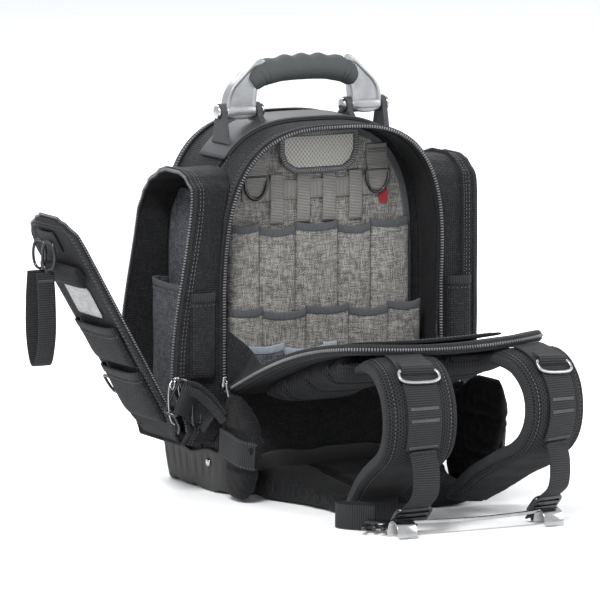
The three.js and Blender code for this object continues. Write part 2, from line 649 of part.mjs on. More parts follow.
function buildInterior() {
  const boardRear = DIVIDER.front - GAP;
  const face = boardRear - BOARD.thickness;
  const levels = [BOARD.bottom, 140, ...archLevels(BOARD.spring, BOARD.top)];
  add('tool_board', loft(levels.map((z) => levelRing(z, boardHalf(z), face, boardRear, 0, 0))), grey);
  const front = face - GAP;

  const pouchHalf = 44;
  const pouchOutline = [[-pouchHalf, 368], [-pouchHalf, 348], [-pouchHalf + 5, 336], [-pouchHalf + 16, 329],
    [pouchHalf - 16, 329], [pouchHalf - 5, 336], [pouchHalf, 348], [pouchHalf, 368]];
  const pouchRing = (y, k) => pouchOutline.map(([x, z]) => vec(x * k, y, 350 + (z - 350) * k));
  add('top_pouch', loft([pouchRing(front, 1), pouchRing(front - 8, 1), pouchRing(front - 12, 0.9)]), grey);

  const ringX = 71;
  const keepers = [-1, 1].map((side) => block(side * ringX - 13, side * ringX + 13, front - 2.5, front, 310, 346));
  add('board_webbing', join(block(-84, 84, front - 1.5, front, 299, 319), ...keepers), grey);
  for (const side of [-1, 1]) {
    const name = side < 0 ? 'left' : 'right';
    const x = side * ringX;
    add(`board_ring_${name}`, ringLoop(vec(x, front - 4.5, 313), vec(1, 0, 0), vec(0, -0.08, 1).normalize(),
      13, 12, 1.6), plastic);
  }
  let y = front;
  const rows = ['pocket_row_upper', 'pocket_row_middle', 'pocket_row_front'];
  const reach = [105, 112, 100];
  const walls = [[-70, -28, 22, 60], [-72, -22, 28, 74], [-52, -6, 8]];
  const bottoms = [54, 50, 50];
  rows.forEach((name, i) => {
    const rear = y;
    const fore = y - TIER[i].depth;
    const finish = i === 2 ? blueGrey : grey;
    pocketRow(name, -reach[i], reach[i], fore, rear, bottoms[i], TIER[i].top, walls[i], finish);
    y = fore - GAP;
  });
}

// Harness panel: the opening's own outline, folded forwards and held up; s runs from the hinge
const panelTilt = THREE.MathUtils.degToRad(PANEL.tilt);
const panelHalf = (s) => {
  const beyond = Math.min(Math.max(s - PANEL.straight, 0) / (PANEL.length - PANEL.straight), 1);
  return (BODY.halfWidth - PANEL.inset) * (1 - beyond ** PANEL.power) ** (1 / PANEL.power);
};

function panelPoint(x, s, depth) {
  const across = 1 - (x / BODY.halfWidth) ** 2;
  const sag = PANEL.sag * across * (s / PANEL.length) ** 2;
  const bow = PANEL.bow * Math.sin((Math.PI * s) / PANEL.length);
  return vec(x,
    PANEL.hingeY - s * Math.cos(panelTilt) - depth * Math.sin(panelTilt),
    OPENING.bottom + s * Math.sin(panelTilt) - depth * Math.cos(panelTilt) - sag + bow);
}

const PANEL_ACROSS = [-1, -0.66, -0.33, 0, 0.33, 0.66, 1];
const PANEL_SHARES = [0, 0.08, 0.2, 0.366, 0.5, 0.64, 0.74, 0.83, 0.9, 0.95, 0.98, 0.997];

function panelSlab(steps, halfAt, near, far) {
  return loft(steps.map((s) => {
    const half = halfAt(s);
    const top = PANEL_ACROSS.map((share) => panelPoint(share * half, s, near));
    const under = PANEL_ACROSS.map((share) => panelPoint(share * half, s, far)).reverse();
    return [...top, ...under];
  }));
}

function buildPanel() {
  const steps = PANEL_SHARES.map((share) => share * PANEL.length);
  add('harness_panel', panelSlab(steps, panelHalf, 0, PANEL.thickness), black);
  const around = panelSlab([...steps, 1.001 * PANEL.length], (s) => panelHalf(Math.min(s, steps.at(-1))) + GAP,
    -GAP, PANEL.thickness + GAP);
  const edge = [];
  for (const s of steps) edge.push([-panelHalf(s), s]);
  for (const s of [...steps].reverse()) edge.push([panelHalf(s), s]);
  const out = GAP + 1.8;
  const moved = edge.map(([x, s], i) => {
    const [ax, as] = edge[Math.max(i - 1, 0)];
    const [bx, bs] = edge[Math.min(i + 1, edge.length - 1)];
    const length = Math.hypot(bx - ax, bs - as);
    return [x - (out * (bs - as)) / length, s + (out * (bx - ax)) / length];
  });
  const normal = vec(0, -Math.sin(panelTilt), -Math.cos(panelTilt)).negate();
  const chain = sweep(
    moved.slice(1, -1).map(([x, s]) => panelPoint(x, s, PANEL.thickness / 2)), () => normal,
    () => rectangle(8, 2.8),
  );
  add('panel_zip', cut(chain, around), webbing);
  const pocketSteps = [0.26, 0.4, 0.55, 0.7, 0.8].map((share) => share * PANEL.length);
  add('panel_pocket', panelSlab(pocketSteps, () => 84, -6, -0.9), black);
  const under = PANEL.thickness + 0.9;
  for (const side of [-1, 1]) {
    const name = side < 0 ? 'left' : 'right';
    const padSteps = [0.12, 0.16, 0.3, 0.5, 0.68, 0.8, 0.84].map((share) => share * PANEL.length);
    const deep = [8, 20, 26, 26, 22, 14, 6];
    const rings = padSteps.map((s, i) => {
      const shares = [0.06, 0.25, 0.5, 0.75, 0.94];
      const top = shares.map((share) => panelPoint(side * share * 112, s, under));
      const bulge = [0.35, 0.95, 1, 0.95, 0.35];
      const low = shares.map((share, k) => panelPoint(side * share * 112, s, under + deep[i] * bulge[k]));
      return [...top, ...low.reverse()];
    });
    add(`back_pad_${name}`, loft(rings), black);
  }
}

// Lumbar pad on the floor and the two belt wings that stand up from it

function buildBelt() {
  const stations = [[0, 113, 30], [0.06, 117.3, 34], [0.3, 104, 34], [0.5, 92, 30], [0.75, 84, 26], [0.93, 80, 20],
    [1, 74, 8]];
  const rings = stations.map(([share, half, height]) => {
    const y = LUMBAR.rearY + share * (LUMBAR.frontY - LUMBAR.rearY);
    const k = LUMBAR.height / 34;
    const top = [[-1, 0.3], [-0.93, 0.75], [-0.7, 0.98], [0, 1], [0.7, 0.98], [0.93, 0.75], [1, 0.3]];
    const foot = [vec(half * 0.97, y, 0), vec(-half * 0.97, y, 0)];
    return [...top.map(([u, v]) => vec(u * half, y, v * height * k)), ...foot];
  });
  add('lumbar_pad', loft(rings), black);

  const wing = (name, stationsOf) => {
    const wingRings = stationsOf.map(([z, x, y0, y1, thick]) => {
      const c = thick / 2;
      const near = [[-c, y0 + 5], [-c * 0.6, y0], [c * 0.6, y0], [c, y0 + 5]];
      const far = [[c, y1 - 5], [c * 0.6, y1], [-c * 0.6, y1], [-c, y1 - 5]];
      return [...near, ...far].map(([u, y]) => vec(x + u, y, z));
    });
    add(name, loft(wingRings), black);
  };
  wing('belt_wing_left', [
    [0.2, -127, -135, -108, 16], [14, -127.6, -150, -103, 22], [40, -128.6, -164, -101, 24], [67, -128, -172, -100, 24],
    [88, -128, -160, -100, 22], [101, -130, -146, -101, 18], [111, -131, -134, -104, 9],
  ]);
  wing('belt_wing_right', [
    [0.2, 127, -170, -108, 16], [14, 127, -190, -103, 20], [40, 128, -210, -101, 22], [70, 129, -224, -100, 22],
    [92, 129, -226, -104, 20], [110, 129, -220, -140, 16], [122, 128, -214, -160, 8],
  ]);
}

// Shoulder straps: padded strip, webbing on its face, a loose tail and an oval ring

const STRAP_ROUTE = [[-322, 158], [-348, 165], [-374, 159], [-392, 138], [-396, 110], [-384, 84], [-352, 64],
  [-322, 48], [-294, 29], [-272, 13]];

function strapPath(centres, lift) {
  const points = STRAP_ROUTE.map(([y, z], i) => vec(centres[i], y, z + lift * Math.max(0, 1 - i / 2)));
  return smooth(points, 22);
}

function buildStraps() {
  const sets = [
    {
      name: 'left', turn: 0, lift: 3.2, webGap: 0.6, tailGap: 0.5,
      xs: [-57, -59, -61, -62, -62, -61, -59, -57, -55, -54],
    },
    {
      name: 'right', turn: 20, lift: 3.5, webGap: 0.9, tailGap: 0,
      xs: [80, 84, 88, 91, 91, 88, 82, 73, 64, 58],
    },
  ];
  for (const { name, turn, lift, webGap, tailGap, xs } of sets) {
    const path = strapPath(xs, lift);
    const last = path.length - 1;
    const turned = (i) => {
      const angle = THREE.MathUtils.degToRad(turn * Math.sin((Math.PI * Math.min(i, 14)) / 14));
      return vec(Math.cos(angle), Math.sin(angle), 0);
    };
    const ease = (i) => Math.min(1, 0.55 + i / 5, 0.6 + (last - i) / 6);
    const narrowed = (i) => (i > 14 ? 1 - (i - 14) * 0.045 : 1);
    add(`strap_pad_${name}`, sweep(path, turned,
      (i) => padSection(STRAP.padWidth * narrowed(i), STRAP.padThickness * ease(i))), black);
    const out = STRAP.padThickness / 2 + GAP + STRAP.webThickness / 2;
    const offset = (i, distance) => {
      const before = path[Math.max(i - 1, 0)];
      const after = path[Math.min(i + 1, last)];
      const tangent = after.clone().sub(before).normalize();
      const wide = turned(i);
      wide.addScaledVector(tangent, -wide.dot(tangent)).normalize();
      return path[i].clone().addScaledVector(tangent.clone().cross(wide), distance);
    };
    const webPoints = [];
    for (let i = 4; i <= 10; i++) webPoints.push(offset(i, out + webGap));
    add(`strap_web_${name}`, sweep(webPoints, (i) => turned(i + 4),
      () => rectangle(STRAP.webWidth, STRAP.webThickness)), webbing);
    const ringWire = 1.8;
    const ringCentre = offset(5, out + STRAP.webThickness / 2 + GAP + ringWire + webGap - 0.8);
    const along = path[6].clone().sub(path[4]).normalize();
    add(`strap_ring_${name}`, ringLoop(ringCentre, turned(5), along, 22, 8.5, ringWire, 20, 3), steel);
    const tailStart = offset(10, out + STRAP.webThickness + 2 * GAP + tailGap);
    const tail = smooth([tailStart, tailStart.clone().add(vec(1, -6, -18)), tailStart.clone().add(vec(0, -5, -42)),
      vec(tailStart.x - 2, tailStart.y + 13.6, 26), vec(tailStart.x - 4, tailStart.y + 34, 5)], 12);
    add(`strap_tail_${name}`, sweep(tail, () => turned(8), () => rectangle(30, STRAP.webThickness)), webbing);
  }
}

// Steel bar on the floor, with two hooked tabs
function buildBar() {
  const centre = (BAR.left + BAR.right) / 2;
  const half = (BAR.right - BAR.left) / 2;
  const points = Array.from({ length: 13 }, (_, i) => {
    const share = -1 + i / 6;
    return vec(centre + share * (half - BAR.tabWidth / 4), BAR.y, BAR.z - 2.5 * (1 - share * share));
  });
  const bar = sweep(points, () => vec(0, 0, 1), () => circle(BAR.radius, 8));
  const tabs = [BAR.left, BAR.right].map((x) => {
    const profile = [vec(x, BAR.y - 13, 0), vec(x, BAR.y - 12, 8), vec(x, BAR.y - 8, 14), vec(x, BAR.y, BAR.z + 1.5),
      vec(x, BAR.y + 7, 13), vec(x, BAR.y + 10, 6), vec(x, BAR.y + 11, 0)];
    return sweep(smooth(profile, 12), () => vec(1, 0, 0), () => rectangle(BAR.tabWidth, BAR.tabThickness));
  });
  add('hanger_bar', join(bar, ...tabs), steel);
}

// Loose webbing, rings and buckles near the base and on the floor
function buildTrim() {
  for (const side of [-1, 1]) {
    const name = side < 0 ? 'left' : 'right';
    const route = [vec(side * 166, -85.9, 100), vec(side * 158, -87.6, 96), vec(side * 151, -92, 90),
      vec(side * 147, -101, 82)];
    add(`side_web_${name}`, sweep(smooth(route, 8), () => vec(0, 0, 1), () => rectangle(38, 2)), webbing);
  }
  const level = FLOOR_LOOP.width / 2 + FLOOR_GAP;
  const route = FLOOR_LOOP.route.map(([x, y]) => vec(x, y, level));
  add('floor_loop', sweep(smooth(route, 26), () => vec(0, 0, 1),
    () => rectangle(FLOOR_LOOP.width, STRAP.webThickness)), webbing);
}

buildTray();
buildShells();
buildRearCover();
buildZips();
buildSaddle();
buildHandle();
buildPockets();
buildFlap();
buildClipStrap();
buildInterior();
buildPanel();
buildBelt();
buildStraps();
buildBar();
buildTrim();

// The pieces are laid out from the handle's side of the bag; the move puts the base's centre at the origin.
model.position.y = CENTRE_SHIFT;
const backpack = new THREE.Group();
backpack.add(model);

export default backpack;
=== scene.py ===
"""Looks of the tool backpack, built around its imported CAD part.

Lengths inside the classes are millimetres in the maker's own frame, whose Y runs 14.5 mm behind the packed
one; ``to_frame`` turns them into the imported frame's metres, which is what every mesh holds.
"""

from __future__ import annotations

import json
import logging
import math
from dataclasses import dataclass, field
from enum import Enum
from typing import Callable, Sequence

import bmesh
import bpy
import numpy as np
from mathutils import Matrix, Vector

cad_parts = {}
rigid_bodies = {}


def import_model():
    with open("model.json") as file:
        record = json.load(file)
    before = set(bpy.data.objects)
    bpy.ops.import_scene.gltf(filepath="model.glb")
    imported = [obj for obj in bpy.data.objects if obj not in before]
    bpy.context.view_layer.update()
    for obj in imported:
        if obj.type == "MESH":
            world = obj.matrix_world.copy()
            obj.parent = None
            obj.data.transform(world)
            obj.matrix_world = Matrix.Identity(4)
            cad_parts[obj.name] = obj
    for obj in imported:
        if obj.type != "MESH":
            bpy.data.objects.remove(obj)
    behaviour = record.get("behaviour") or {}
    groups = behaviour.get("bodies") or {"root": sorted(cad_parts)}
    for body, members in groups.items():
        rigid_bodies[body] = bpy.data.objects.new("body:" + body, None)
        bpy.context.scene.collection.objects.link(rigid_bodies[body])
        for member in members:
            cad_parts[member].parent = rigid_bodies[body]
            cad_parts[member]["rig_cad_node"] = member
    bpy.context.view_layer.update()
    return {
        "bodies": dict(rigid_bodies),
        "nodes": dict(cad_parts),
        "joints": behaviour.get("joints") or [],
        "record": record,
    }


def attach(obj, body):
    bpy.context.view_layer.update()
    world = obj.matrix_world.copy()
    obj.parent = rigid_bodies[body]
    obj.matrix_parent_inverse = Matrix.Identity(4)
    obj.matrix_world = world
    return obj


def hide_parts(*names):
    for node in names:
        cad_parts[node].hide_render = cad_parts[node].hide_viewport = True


log = logging.getLogger("backpack")
FRAME: dict = {}

ROOT = "root"
HANDLE = "handle"
MM = 0.001
SHIFT = np.array([0.0, 14.5, 0.0])
Array = np.ndarray

# Arrays


def vec(*values: float) -> Array:
    """A float array of the given numbers."""
    return np.array(values, float)


def to_frame(points: Array) -> Array:
    """Millimetres in the maker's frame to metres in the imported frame."""
    return (np.asarray(points, float) + SHIFT) * MM


def unit(vectors: Array) -> Array:
    """Vectors scaled to length one along the last axis."""
    size = np.linalg.norm(vectors, axis=-1, keepdims=True)
    return vectors / np.maximum(size, 1e-9)


def eased(pairs: Sequence[tuple[float, float]], at: Array) -> Array:
    """Values read from (at, value) pairs, each step eased by 3t^2 - 2t^3.

    Args:
        pairs: places and values, places rising.
        at: where to read, any shape.

    Returns:
        The values, in the shape of ``at``.
    """
    at = np.asarray(at, float)
    places, values = np.array(pairs, float).T
    step = np.clip(np.searchsorted(places, at) - 1, 0, len(places) - 2)
    t = np.clip((at - places[step]) / (places[step + 1] - places[step]), 0, 1)
    return values[step] + (values[step + 1] - values[step]) * t * t * (3 - 2 * t)


def curve(points: Sequence[Sequence[float]], count: int, closed: bool = False) -> Array:
    """A Catmull-Rom curve through points, sampled evenly by length.

    Args:
        points: control points, any dimension.
        count: number of samples.
        closed: whether the curve returns to its start.

    Returns:
        The samples; a closed curve doesn't repeat its first.
    """
    p = np.asarray(points, float)
    p = np.vstack([p[-1], p, p[:2]]) if closed else np.vstack([2 * p[0] - p[1], p, 2 * p[-1] - p[-2]])
    spans = len(p) - 3
    t = np.linspace(0, spans, spans * 24 + 1)
    k = np.minimum(t.astype(int), spans - 1)
    f = (t - k)[:, None]
    a, b, c, d = p[k], p[k + 1], p[k + 2], p[k + 3]
    fine = 0.5 * (2 * b + (c - a) * f + (2 * a - 5 * b + 4 * c - d) * f**2 + (3 * b - a - 3 * c + d) * f**3)
    return resample(fine, count, closed)


def resample(path: Array, count: int, closed: bool = False) -> Array:
    """A polyline sampled evenly by length; a closed one ends at its start and the last sample is left out."""
    along = np.concatenate([[0], np.cumsum(np.linalg.norm(np.diff(path, axis=0), axis=1))])
    at = np.linspace(0, along[-1], count + 1)[:-1] if closed else np.linspace(0, along[-1], count)
    return np.stack([np.interp(at, along, path[:, i]) for i in range(path.shape[1])], axis=1)


def path_length(path: Array) -> float:
    """Length of a polyline."""
    return float(np.linalg.norm(np.diff(path, axis=0), axis=1).sum())


def ripple(points: Array, size: float, seed: float = 0.0) -> Array:
    """Smooth seeded waviness between -1 and 1: a sum of five sine waves over the points.

    Args:
        points: (..., 3) in millimetres.
        size: rough length of one wave.
        seed: shifts the waves.

    Returns:
        (...) values.
    """
    rows = np.random.default_rng(int(seed * 1000) + 7)
    total = np.zeros(points.shape[:-1])
    for weight in (1.0, 0.8, 0.6, 0.45, 0.3):
        wave = unit(rows.normal(size=3)) * rows.uniform(0.7, 1.9) * 2 * math.pi / size
        total = total + weight * np.sin(points @ wave + rows.uniform(0, 6.28))
    return total / 3.15


# Meshes


def rows_of(corners: Array, sizes: Array) -> list[list[int]]:
    """Splits a run of corner numbers into faces."""
    return [row.tolist() for row in np.split(corners, np.cumsum(sizes)[:-1])]


def mesh_object(name: str, points: Array, faces: Sequence[Sequence[int]], corner_uv: Array | None = None,
                smooth: bool = True) -> bpy.types.Object:
    """Makes an object whose mesh holds the points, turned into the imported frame.

    Args:
        name: piece name.
        points: (n, 3) millimetres.
        faces: vertex numbers of each face, as rows or a list of rows.
        corner_uv: (corners, 2) metres, in face order, or None.
        smooth: whether faces are smooth shaded.

    Returns:
        The linked object.
    """
    mesh = bpy.data.meshes.new(name)
    mesh.from_pydata(to_frame(points).tolist(), [], faces)
    if corner_uv is not None:
        layer = mesh.uv_layers.new(name="cloth")
        layer.data.foreach_set("uv", np.asarray(corner_uv, np.float32).ravel())
    mesh.update()
    piece = bpy.data.objects.new(name, mesh)
    bpy.context.scene.collection.objects.link(piece)
    if smooth:
        mesh.polygons.foreach_set("use_smooth", np.ones(len(mesh.polygons), bool))
    return piece


def grid(name: str, points: Array, wrap: bool = False, loop: bool = False, caps: bool = False,
         smooth: bool = True) -> bpy.types.Object:
    """A surface of quads on a grid of points, with a UV map in metres along and across it.

    Args:
        name: piece name.
        points: (rows, columns, 3) millimetres.
        wrap: whether the last column joins the first.
        loop: whether the last row joins the first.
        caps: whether the first and last rows are closed with a face each.
        smooth: whether faces are smooth shaded.

    Returns:
        The object.
    """
    n, m, _ = points.shape
    number = np.arange(n * m).reshape(n, m)
    rows = np.vstack([number, number[:1]]) if loop else number
    full = np.hstack([rows, rows[:, :1]]) if wrap else rows
    faces = np.stack([full[:-1, :-1], full[:-1, 1:], full[1:, 1:], full[1:, :-1]], axis=-1)
    closed = points
    closed = np.concatenate([closed, closed[:1]], 0) if loop else closed
    closed = np.concatenate([closed, closed[:, :1]], 1) if wrap else closed
    along = np.linalg.norm(np.diff(closed, axis=0), axis=2).mean(1)
    across = np.linalg.norm(np.diff(closed, axis=1), axis=2).mean(0)
    u = np.concatenate([[0], np.cumsum(along)]) * MM
    v = np.concatenate([[0], np.cumsum(across)]) * MM
    gu, gv = np.meshgrid(u, v, indexing="ij")
    at = np.stack([gu, gv], -1)
    uv = np.stack([at[:-1, :-1], at[:-1, 1:], at[1:, 1:], at[1:, :-1]], axis=2).reshape(-1, 2)
    listed = faces.reshape(-1, 4).tolist()
    if caps:
        listed += [number[0].tolist(), number[-1, ::-1].tolist()]
        uv = np.vstack([uv, at[0, :m], at[-1, :m][::-1]])
    return mesh_object(name, points.reshape(-1, 3), listed, uv, smooth)


def tidy_normals(piece: bpy.types.Object, merge: float = 0.0) -> bpy.types.Object:
    """Merges doubles and turns every closed shell of a mesh outwards."""
    work = bmesh.new()
    work.from_mesh(piece.data)
    if merge:
        bmesh.ops.remove_doubles(work, verts=work.verts, dist=merge * MM)
    bmesh.ops.recalc_face_normals(work, faces=work.faces)
    work.to_mesh(piece.data)
    work.free()
    piece.data.update()
    return piece


def joined(name: str, pieces: Sequence[bpy.types.Object]) -> bpy.types.Object:
    """Joins pieces into one object, keeping their UV maps and materials."""
    pieces = [p for p in pieces if p is not None]
    bpy.ops.object.select_all(action="DESELECT")
    for p in pieces:
        p.select_set(True)
    bpy.context.view_layer.objects.active = pieces[0]
    if len(pieces) > 1:
        bpy.ops.object.join()
    pieces[0].name = name
    return pieces[0]


def apply_modifiers(piece: bpy.types.Object) -> bpy.types.Object:
    """Bakes the modifiers of a piece into its mesh."""
    bpy.ops.object.select_all(action="DESELECT")
    piece.select_set(True)
    bpy.context.view_layer.objects.active = piece
    for modifier in list(piece.modifiers):
        bpy.ops.object.modifier_apply(modifier=modifier.name)
    return piece


def thickened(piece: bpy.types.Object, thickness: float, offset: float = 0.0) -> bpy.types.Object:
    """Gives a sheet its wall; offset -1 grows against the normals, 1 along them."""
    solid = piece.modifiers.new("wall", "SOLIDIFY")
    solid.thickness = thickness * MM
    solid.offset = offset
    solid.use_even_offset = False
    return piece


def rounded(piece: bpy.types.Object, width: float, segments: int = 2,
            angle: float = 35.0) -> bpy.types.Object:
    """Rounds the sharp edges of a piece."""
    bevel = piece.modifiers.new("round", "BEVEL")
    bevel.width = width * MM
    bevel.segments = segments
    bevel.limit_method = "ANGLE"
    bevel.angle_limit = math.radians(angle)
    bevel.harden_normals = False
    return piece


def subdivided(piece: bpy.types.Object, levels: int = 1) -> bpy.types.Object:
    """Smooths a piece with a subdivision surface."""
    level = piece.modifiers.new("smooth", "SUBSURF")
    level.levels = levels
    level.render_levels = levels
    return piece


# Sections and carried profiles


def rounded_box(width: float, height: float, corner: float, steps: int = 4) -> Array:
    """Outline of a box with round corners, anticlockwise."""
    turns = np.concatenate([np.linspace(q, q + math.pi / 2, steps) for q in (0, math.pi / 2, math.pi,
                                                                             1.5 * math.pi)])
    signs = np.repeat(np.array([[1, 1], [-1, 1], [-1, -1], [1, -1]], float), steps, axis=0)
    centre = signs * (np.array([width, height]) / 2 - corner)
    return centre + corner * np.stack([np.cos(turns), np.sin(turns)], 1)


def oval(width: float, height: float, steps: int = 20, power: float = 2.0) -> Array:
    """Superellipse outline: |x|^p + |y|^p = 1, anticlockwise."""
    t = np.linspace(0, 2 * math.pi, steps, endpoint=False)
    c, s = np.cos(t), np.sin(t)
    return np.stack([width / 2 * np.sign(c) * np.abs(c) ** (2 / power),
                     height / 2 * np.sign(s) * np.abs(s) ** (2 / power)], 1)


def axes_along(path: Array, side: Array, closed: bool = False) -> tuple[Array, Array, Array]:
    """Tangent, side and up directions at each point of a path; side is squared up against the tangent."""
    if closed:
        tangent = unit(np.roll(path, -1, 0) - np.roll(path, 1, 0))
    else:
        tangent = unit(np.gradient(path, axis=0))
    wide = np.broadcast_to(np.asarray(side, float), path.shape)
    wide = unit(wide - (wide * tangent).sum(1, keepdims=True) * tangent)
    return tangent, wide, np.cross(tangent, wide)


def carried(name: str, path: Array, section: Array, side: Array, closed: bool = False,
            scale: Array | None = None, blunt: float = 0.0, smooth: bool = True) -> bpy.types.Object:
    """Carries a closed section along a path: point = path + a * side + b * up.

    Args:
        name: piece name.
        path: (n, 3) millimetres.
        section: (m, 2) or (n, m, 2) outline.
        side: direction of the section's first axis, (3,) or (n, 3).
        closed: whether the path is a loop.
        scale: (n,) or (n, 2) factors on the section.
        blunt: length over which open ends are rounded off.
        smooth: whether faces are smooth shaded.

    Returns:
        The closed solid.
    """
    _, wide, up = axes_along(path, side, closed)
    n = len(path)
    outline = np.broadcast_to(section, (n,) + section.shape[-2:]).copy()
    if scale is not None:
        factor = np.asarray(scale, float)
        outline *= (factor[:, None, None] if factor.ndim == 1 else factor[:, None, :])
    if blunt and not closed:
        along = np.concatenate([[0], np.cumsum(np.linalg.norm(np.diff(path, axis=0), axis=1))])
        near = np.minimum(along, along[-1] - along) / blunt
        taper = np.sqrt(np.clip(1 - (1 - np.clip(near, 0, 1)) ** 2, 0.04, 1))
        outline *= taper[:, None, None]
    points = path[:, None] + outline[..., :1] * wide[:, None] + outline[..., 1:] * up[:, None]
    return tidy_normals(grid(name, points, wrap=True, loop=closed, caps=not closed, smooth=smooth))


def copies(name: str, points: Array, faces: Array, places: Array, turns: Array) -> bpy.types.Object:
    """Many small copies of one solid in one mesh: place + turn @ point.

    Args:
        name: piece name.
        points: (k, 3) template.
        faces: its faces, as lists.
        places: (n, 3) centres.
        turns: (n, 3, 3), columns are the template's axes.

    Returns:
        The object.
    """
    k = len(points)
    everywhere = places[:, None] + np.einsum("nij,kj->nki", turns, points)
    sizes = np.tile([len(f) for f in faces], len(places))
    corners = np.concatenate([np.asarray(f) for f in faces])
    corners = (corners[None] + np.arange(len(places))[:, None] * k).ravel()
    return tidy_normals(mesh_object(name, everywhere.reshape(-1, 3), rows_of(corners, sizes)))


GRAIN_POINTS = np.array([[-1, 0, 0], [-0.6, 1, 0.2], [-0.6, 0, 1], [-0.6, -1, 0.2], [0.6, 1, 0.2],
                         [0.6, 0, 1], [0.6, -1, 0.2], [1, 0, 0], [-0.6, 0, -0.6], [0.6, 0, -0.6]], float)
GRAIN_FACES = [[0, 1, 2], [0, 2, 3], [1, 4, 5, 2], [2, 5, 6, 3], [4, 7, 5], [5, 7, 6],
               [0, 8, 1], [0, 3, 8], [8, 9, 4, 1], [3, 6, 9, 8], [9, 7, 4], [6, 7, 9]]


def stitches(name: str, path: Array, normal: Array, pitch: float = 4.2, length: float = 2.9,
             width: float = 0.45, closed: bool = False) -> bpy.types.Object:
    """A row of thread stitches laid along a path.

    Args:
        name: piece name.
        path: (n, 3) seam line.
        normal: outward direction, (3,) or (n, 3).
        pitch: distance from stitch to stitch.
        length: length of one.
        width: half thickness of the thread.
        closed: whether the seam is a loop.

    Returns:
        The object.
    """
    count = max(int(path_length(path) / pitch), 2)
    whole = np.concatenate([path, np.broadcast_to(np.asarray(normal, float), path.shape)], 1)
    along = np.concatenate([[0], np.cumsum(np.linalg.norm(np.diff(path, axis=0), axis=1))])
    at = np.linspace(0, along[-1], count, endpoint=not closed)
    read = np.stack([np.interp(at, along, whole[:, i]) for i in range(6)], 1)
    places, out = read[:, :3], unit(read[:, 3:])
    tangent = unit(np.gradient(places, axis=0))
    cross = unit(np.cross(out, tangent))
    turns = np.stack([tangent * length / 2, cross * width, np.cross(tangent, cross) * width], axis=2)
    return copies(name, GRAIN_POINTS, GRAIN_FACES, places, turns)


def box_copies(name: str, places: Array, along: Array, across: Array, size: tuple[float, float, float]
               ) -> bpy.types.Object:
    """Small blocks with slanted flanks at each place, such as zip teeth or webbing ribs."""
    sides = ((-0.5, -0.5), (0.5, -0.5), (0.5, 0.5), (-0.5, 0.5))
    corners = np.array([[x, y, z] for z in (-0.5, 0.5) for x, y in sides])
    corners[4:, :2] *= 0.7
    faces = [[0, 1, 2, 3], [4, 5, 6, 7], [0, 1, 5, 4], [1, 2, 6, 5], [2, 3, 7, 6], [3, 0, 4, 7]]
    t = unit(np.broadcast_to(along, places.shape))
    c = unit(np.broadcast_to(across, places.shape))
    turns = np.stack([t * size[0], c * size[1], np.cross(t, c) * size[2]], axis=2)
    return copies(name, corners, np.array(faces), places, turns)


def ring_path(centre: Array, across: Array, up: Array, half_a: float, half_b: float, power: float = 2.0,
              count: int = 40) -> Array:
    """Closed superellipse in the plane of two directions."""
    outline = oval(2 * half_a, 2 * half_b, count, power)
    return centre + outline[:, :1] * unit(across) + outline[:, 1:] * unit(up)


# Shader graphs


class Wire:
    """One output socket of a material's graph, with the operators used on values."""

    def __init__(self, graph: "Graph", socket: bpy.types.NodeSocket) -> None:
        """Wraps a socket of a graph."""
        self.graph = graph
        self.socket = socket

    def __add__(self, other: "Value") -> "Wire":
        """Sum."""
        return self.graph.math("ADD", self, other)

    def __sub__(self, other: "Value") -> "Wire":
        """Difference."""
        return self.graph.math("SUBTRACT", self, other)

    def __rsub__(self, other: "Value") -> "Wire":
        """Difference from a number."""
        return self.graph.math("SUBTRACT", other, self)

    def __mul__(self, other: "Value") -> "Wire":
        """Product."""
        return self.graph.math("MULTIPLY", self, other)

    def __truediv__(self, other: "Value") -> "Wire":
        """Quotient."""
        return self.graph.math("DIVIDE", self, other)

    def __pow__(self, other: "Value") -> "Wire":
        """Power."""
        return self.graph.math("POWER", self, other)

    def __mod__(self, other: "Value") -> "Wire":
        """Remainder."""
        return self.graph.math("FLOORED_MODULO", self, other)

    def __abs__(self) -> "Wire":
        """Absolute value."""
        return self.graph.math("ABSOLUTE", self)

    __radd__ = __add__
    __rmul__ = __mul__

    def fraction(self) -> "Wire":
        """Part after the point."""
        return self.graph.math("FRACT", self)

    def floor(self) -> "Wire":
        """Whole part."""
        return self.graph.math("FLOOR", self)

    def sine(self) -> "Wire":
        """Sine."""
        return self.graph.math("SINE", self)

    def most(self, other: "Value") -> "Wire":
        """Larger of two."""
        return self.graph.math("MAXIMUM", self, other)

    def step(self, low: float, high: float, to_low: float = 0.0, to_high: float = 1.0) -> "Wire":
        """Eased step from one level to another between two values."""
        node = {"interpolation_type": "SMOOTHSTEP"}
        return self.graph.node("ShaderNodeMapRange", node, {
            "Value": self, "From Min": low, "From Max": high, "To Min": to_low, "To Max": to_high})


Value = Wire | float | int
Colour = tuple[float, float, float]


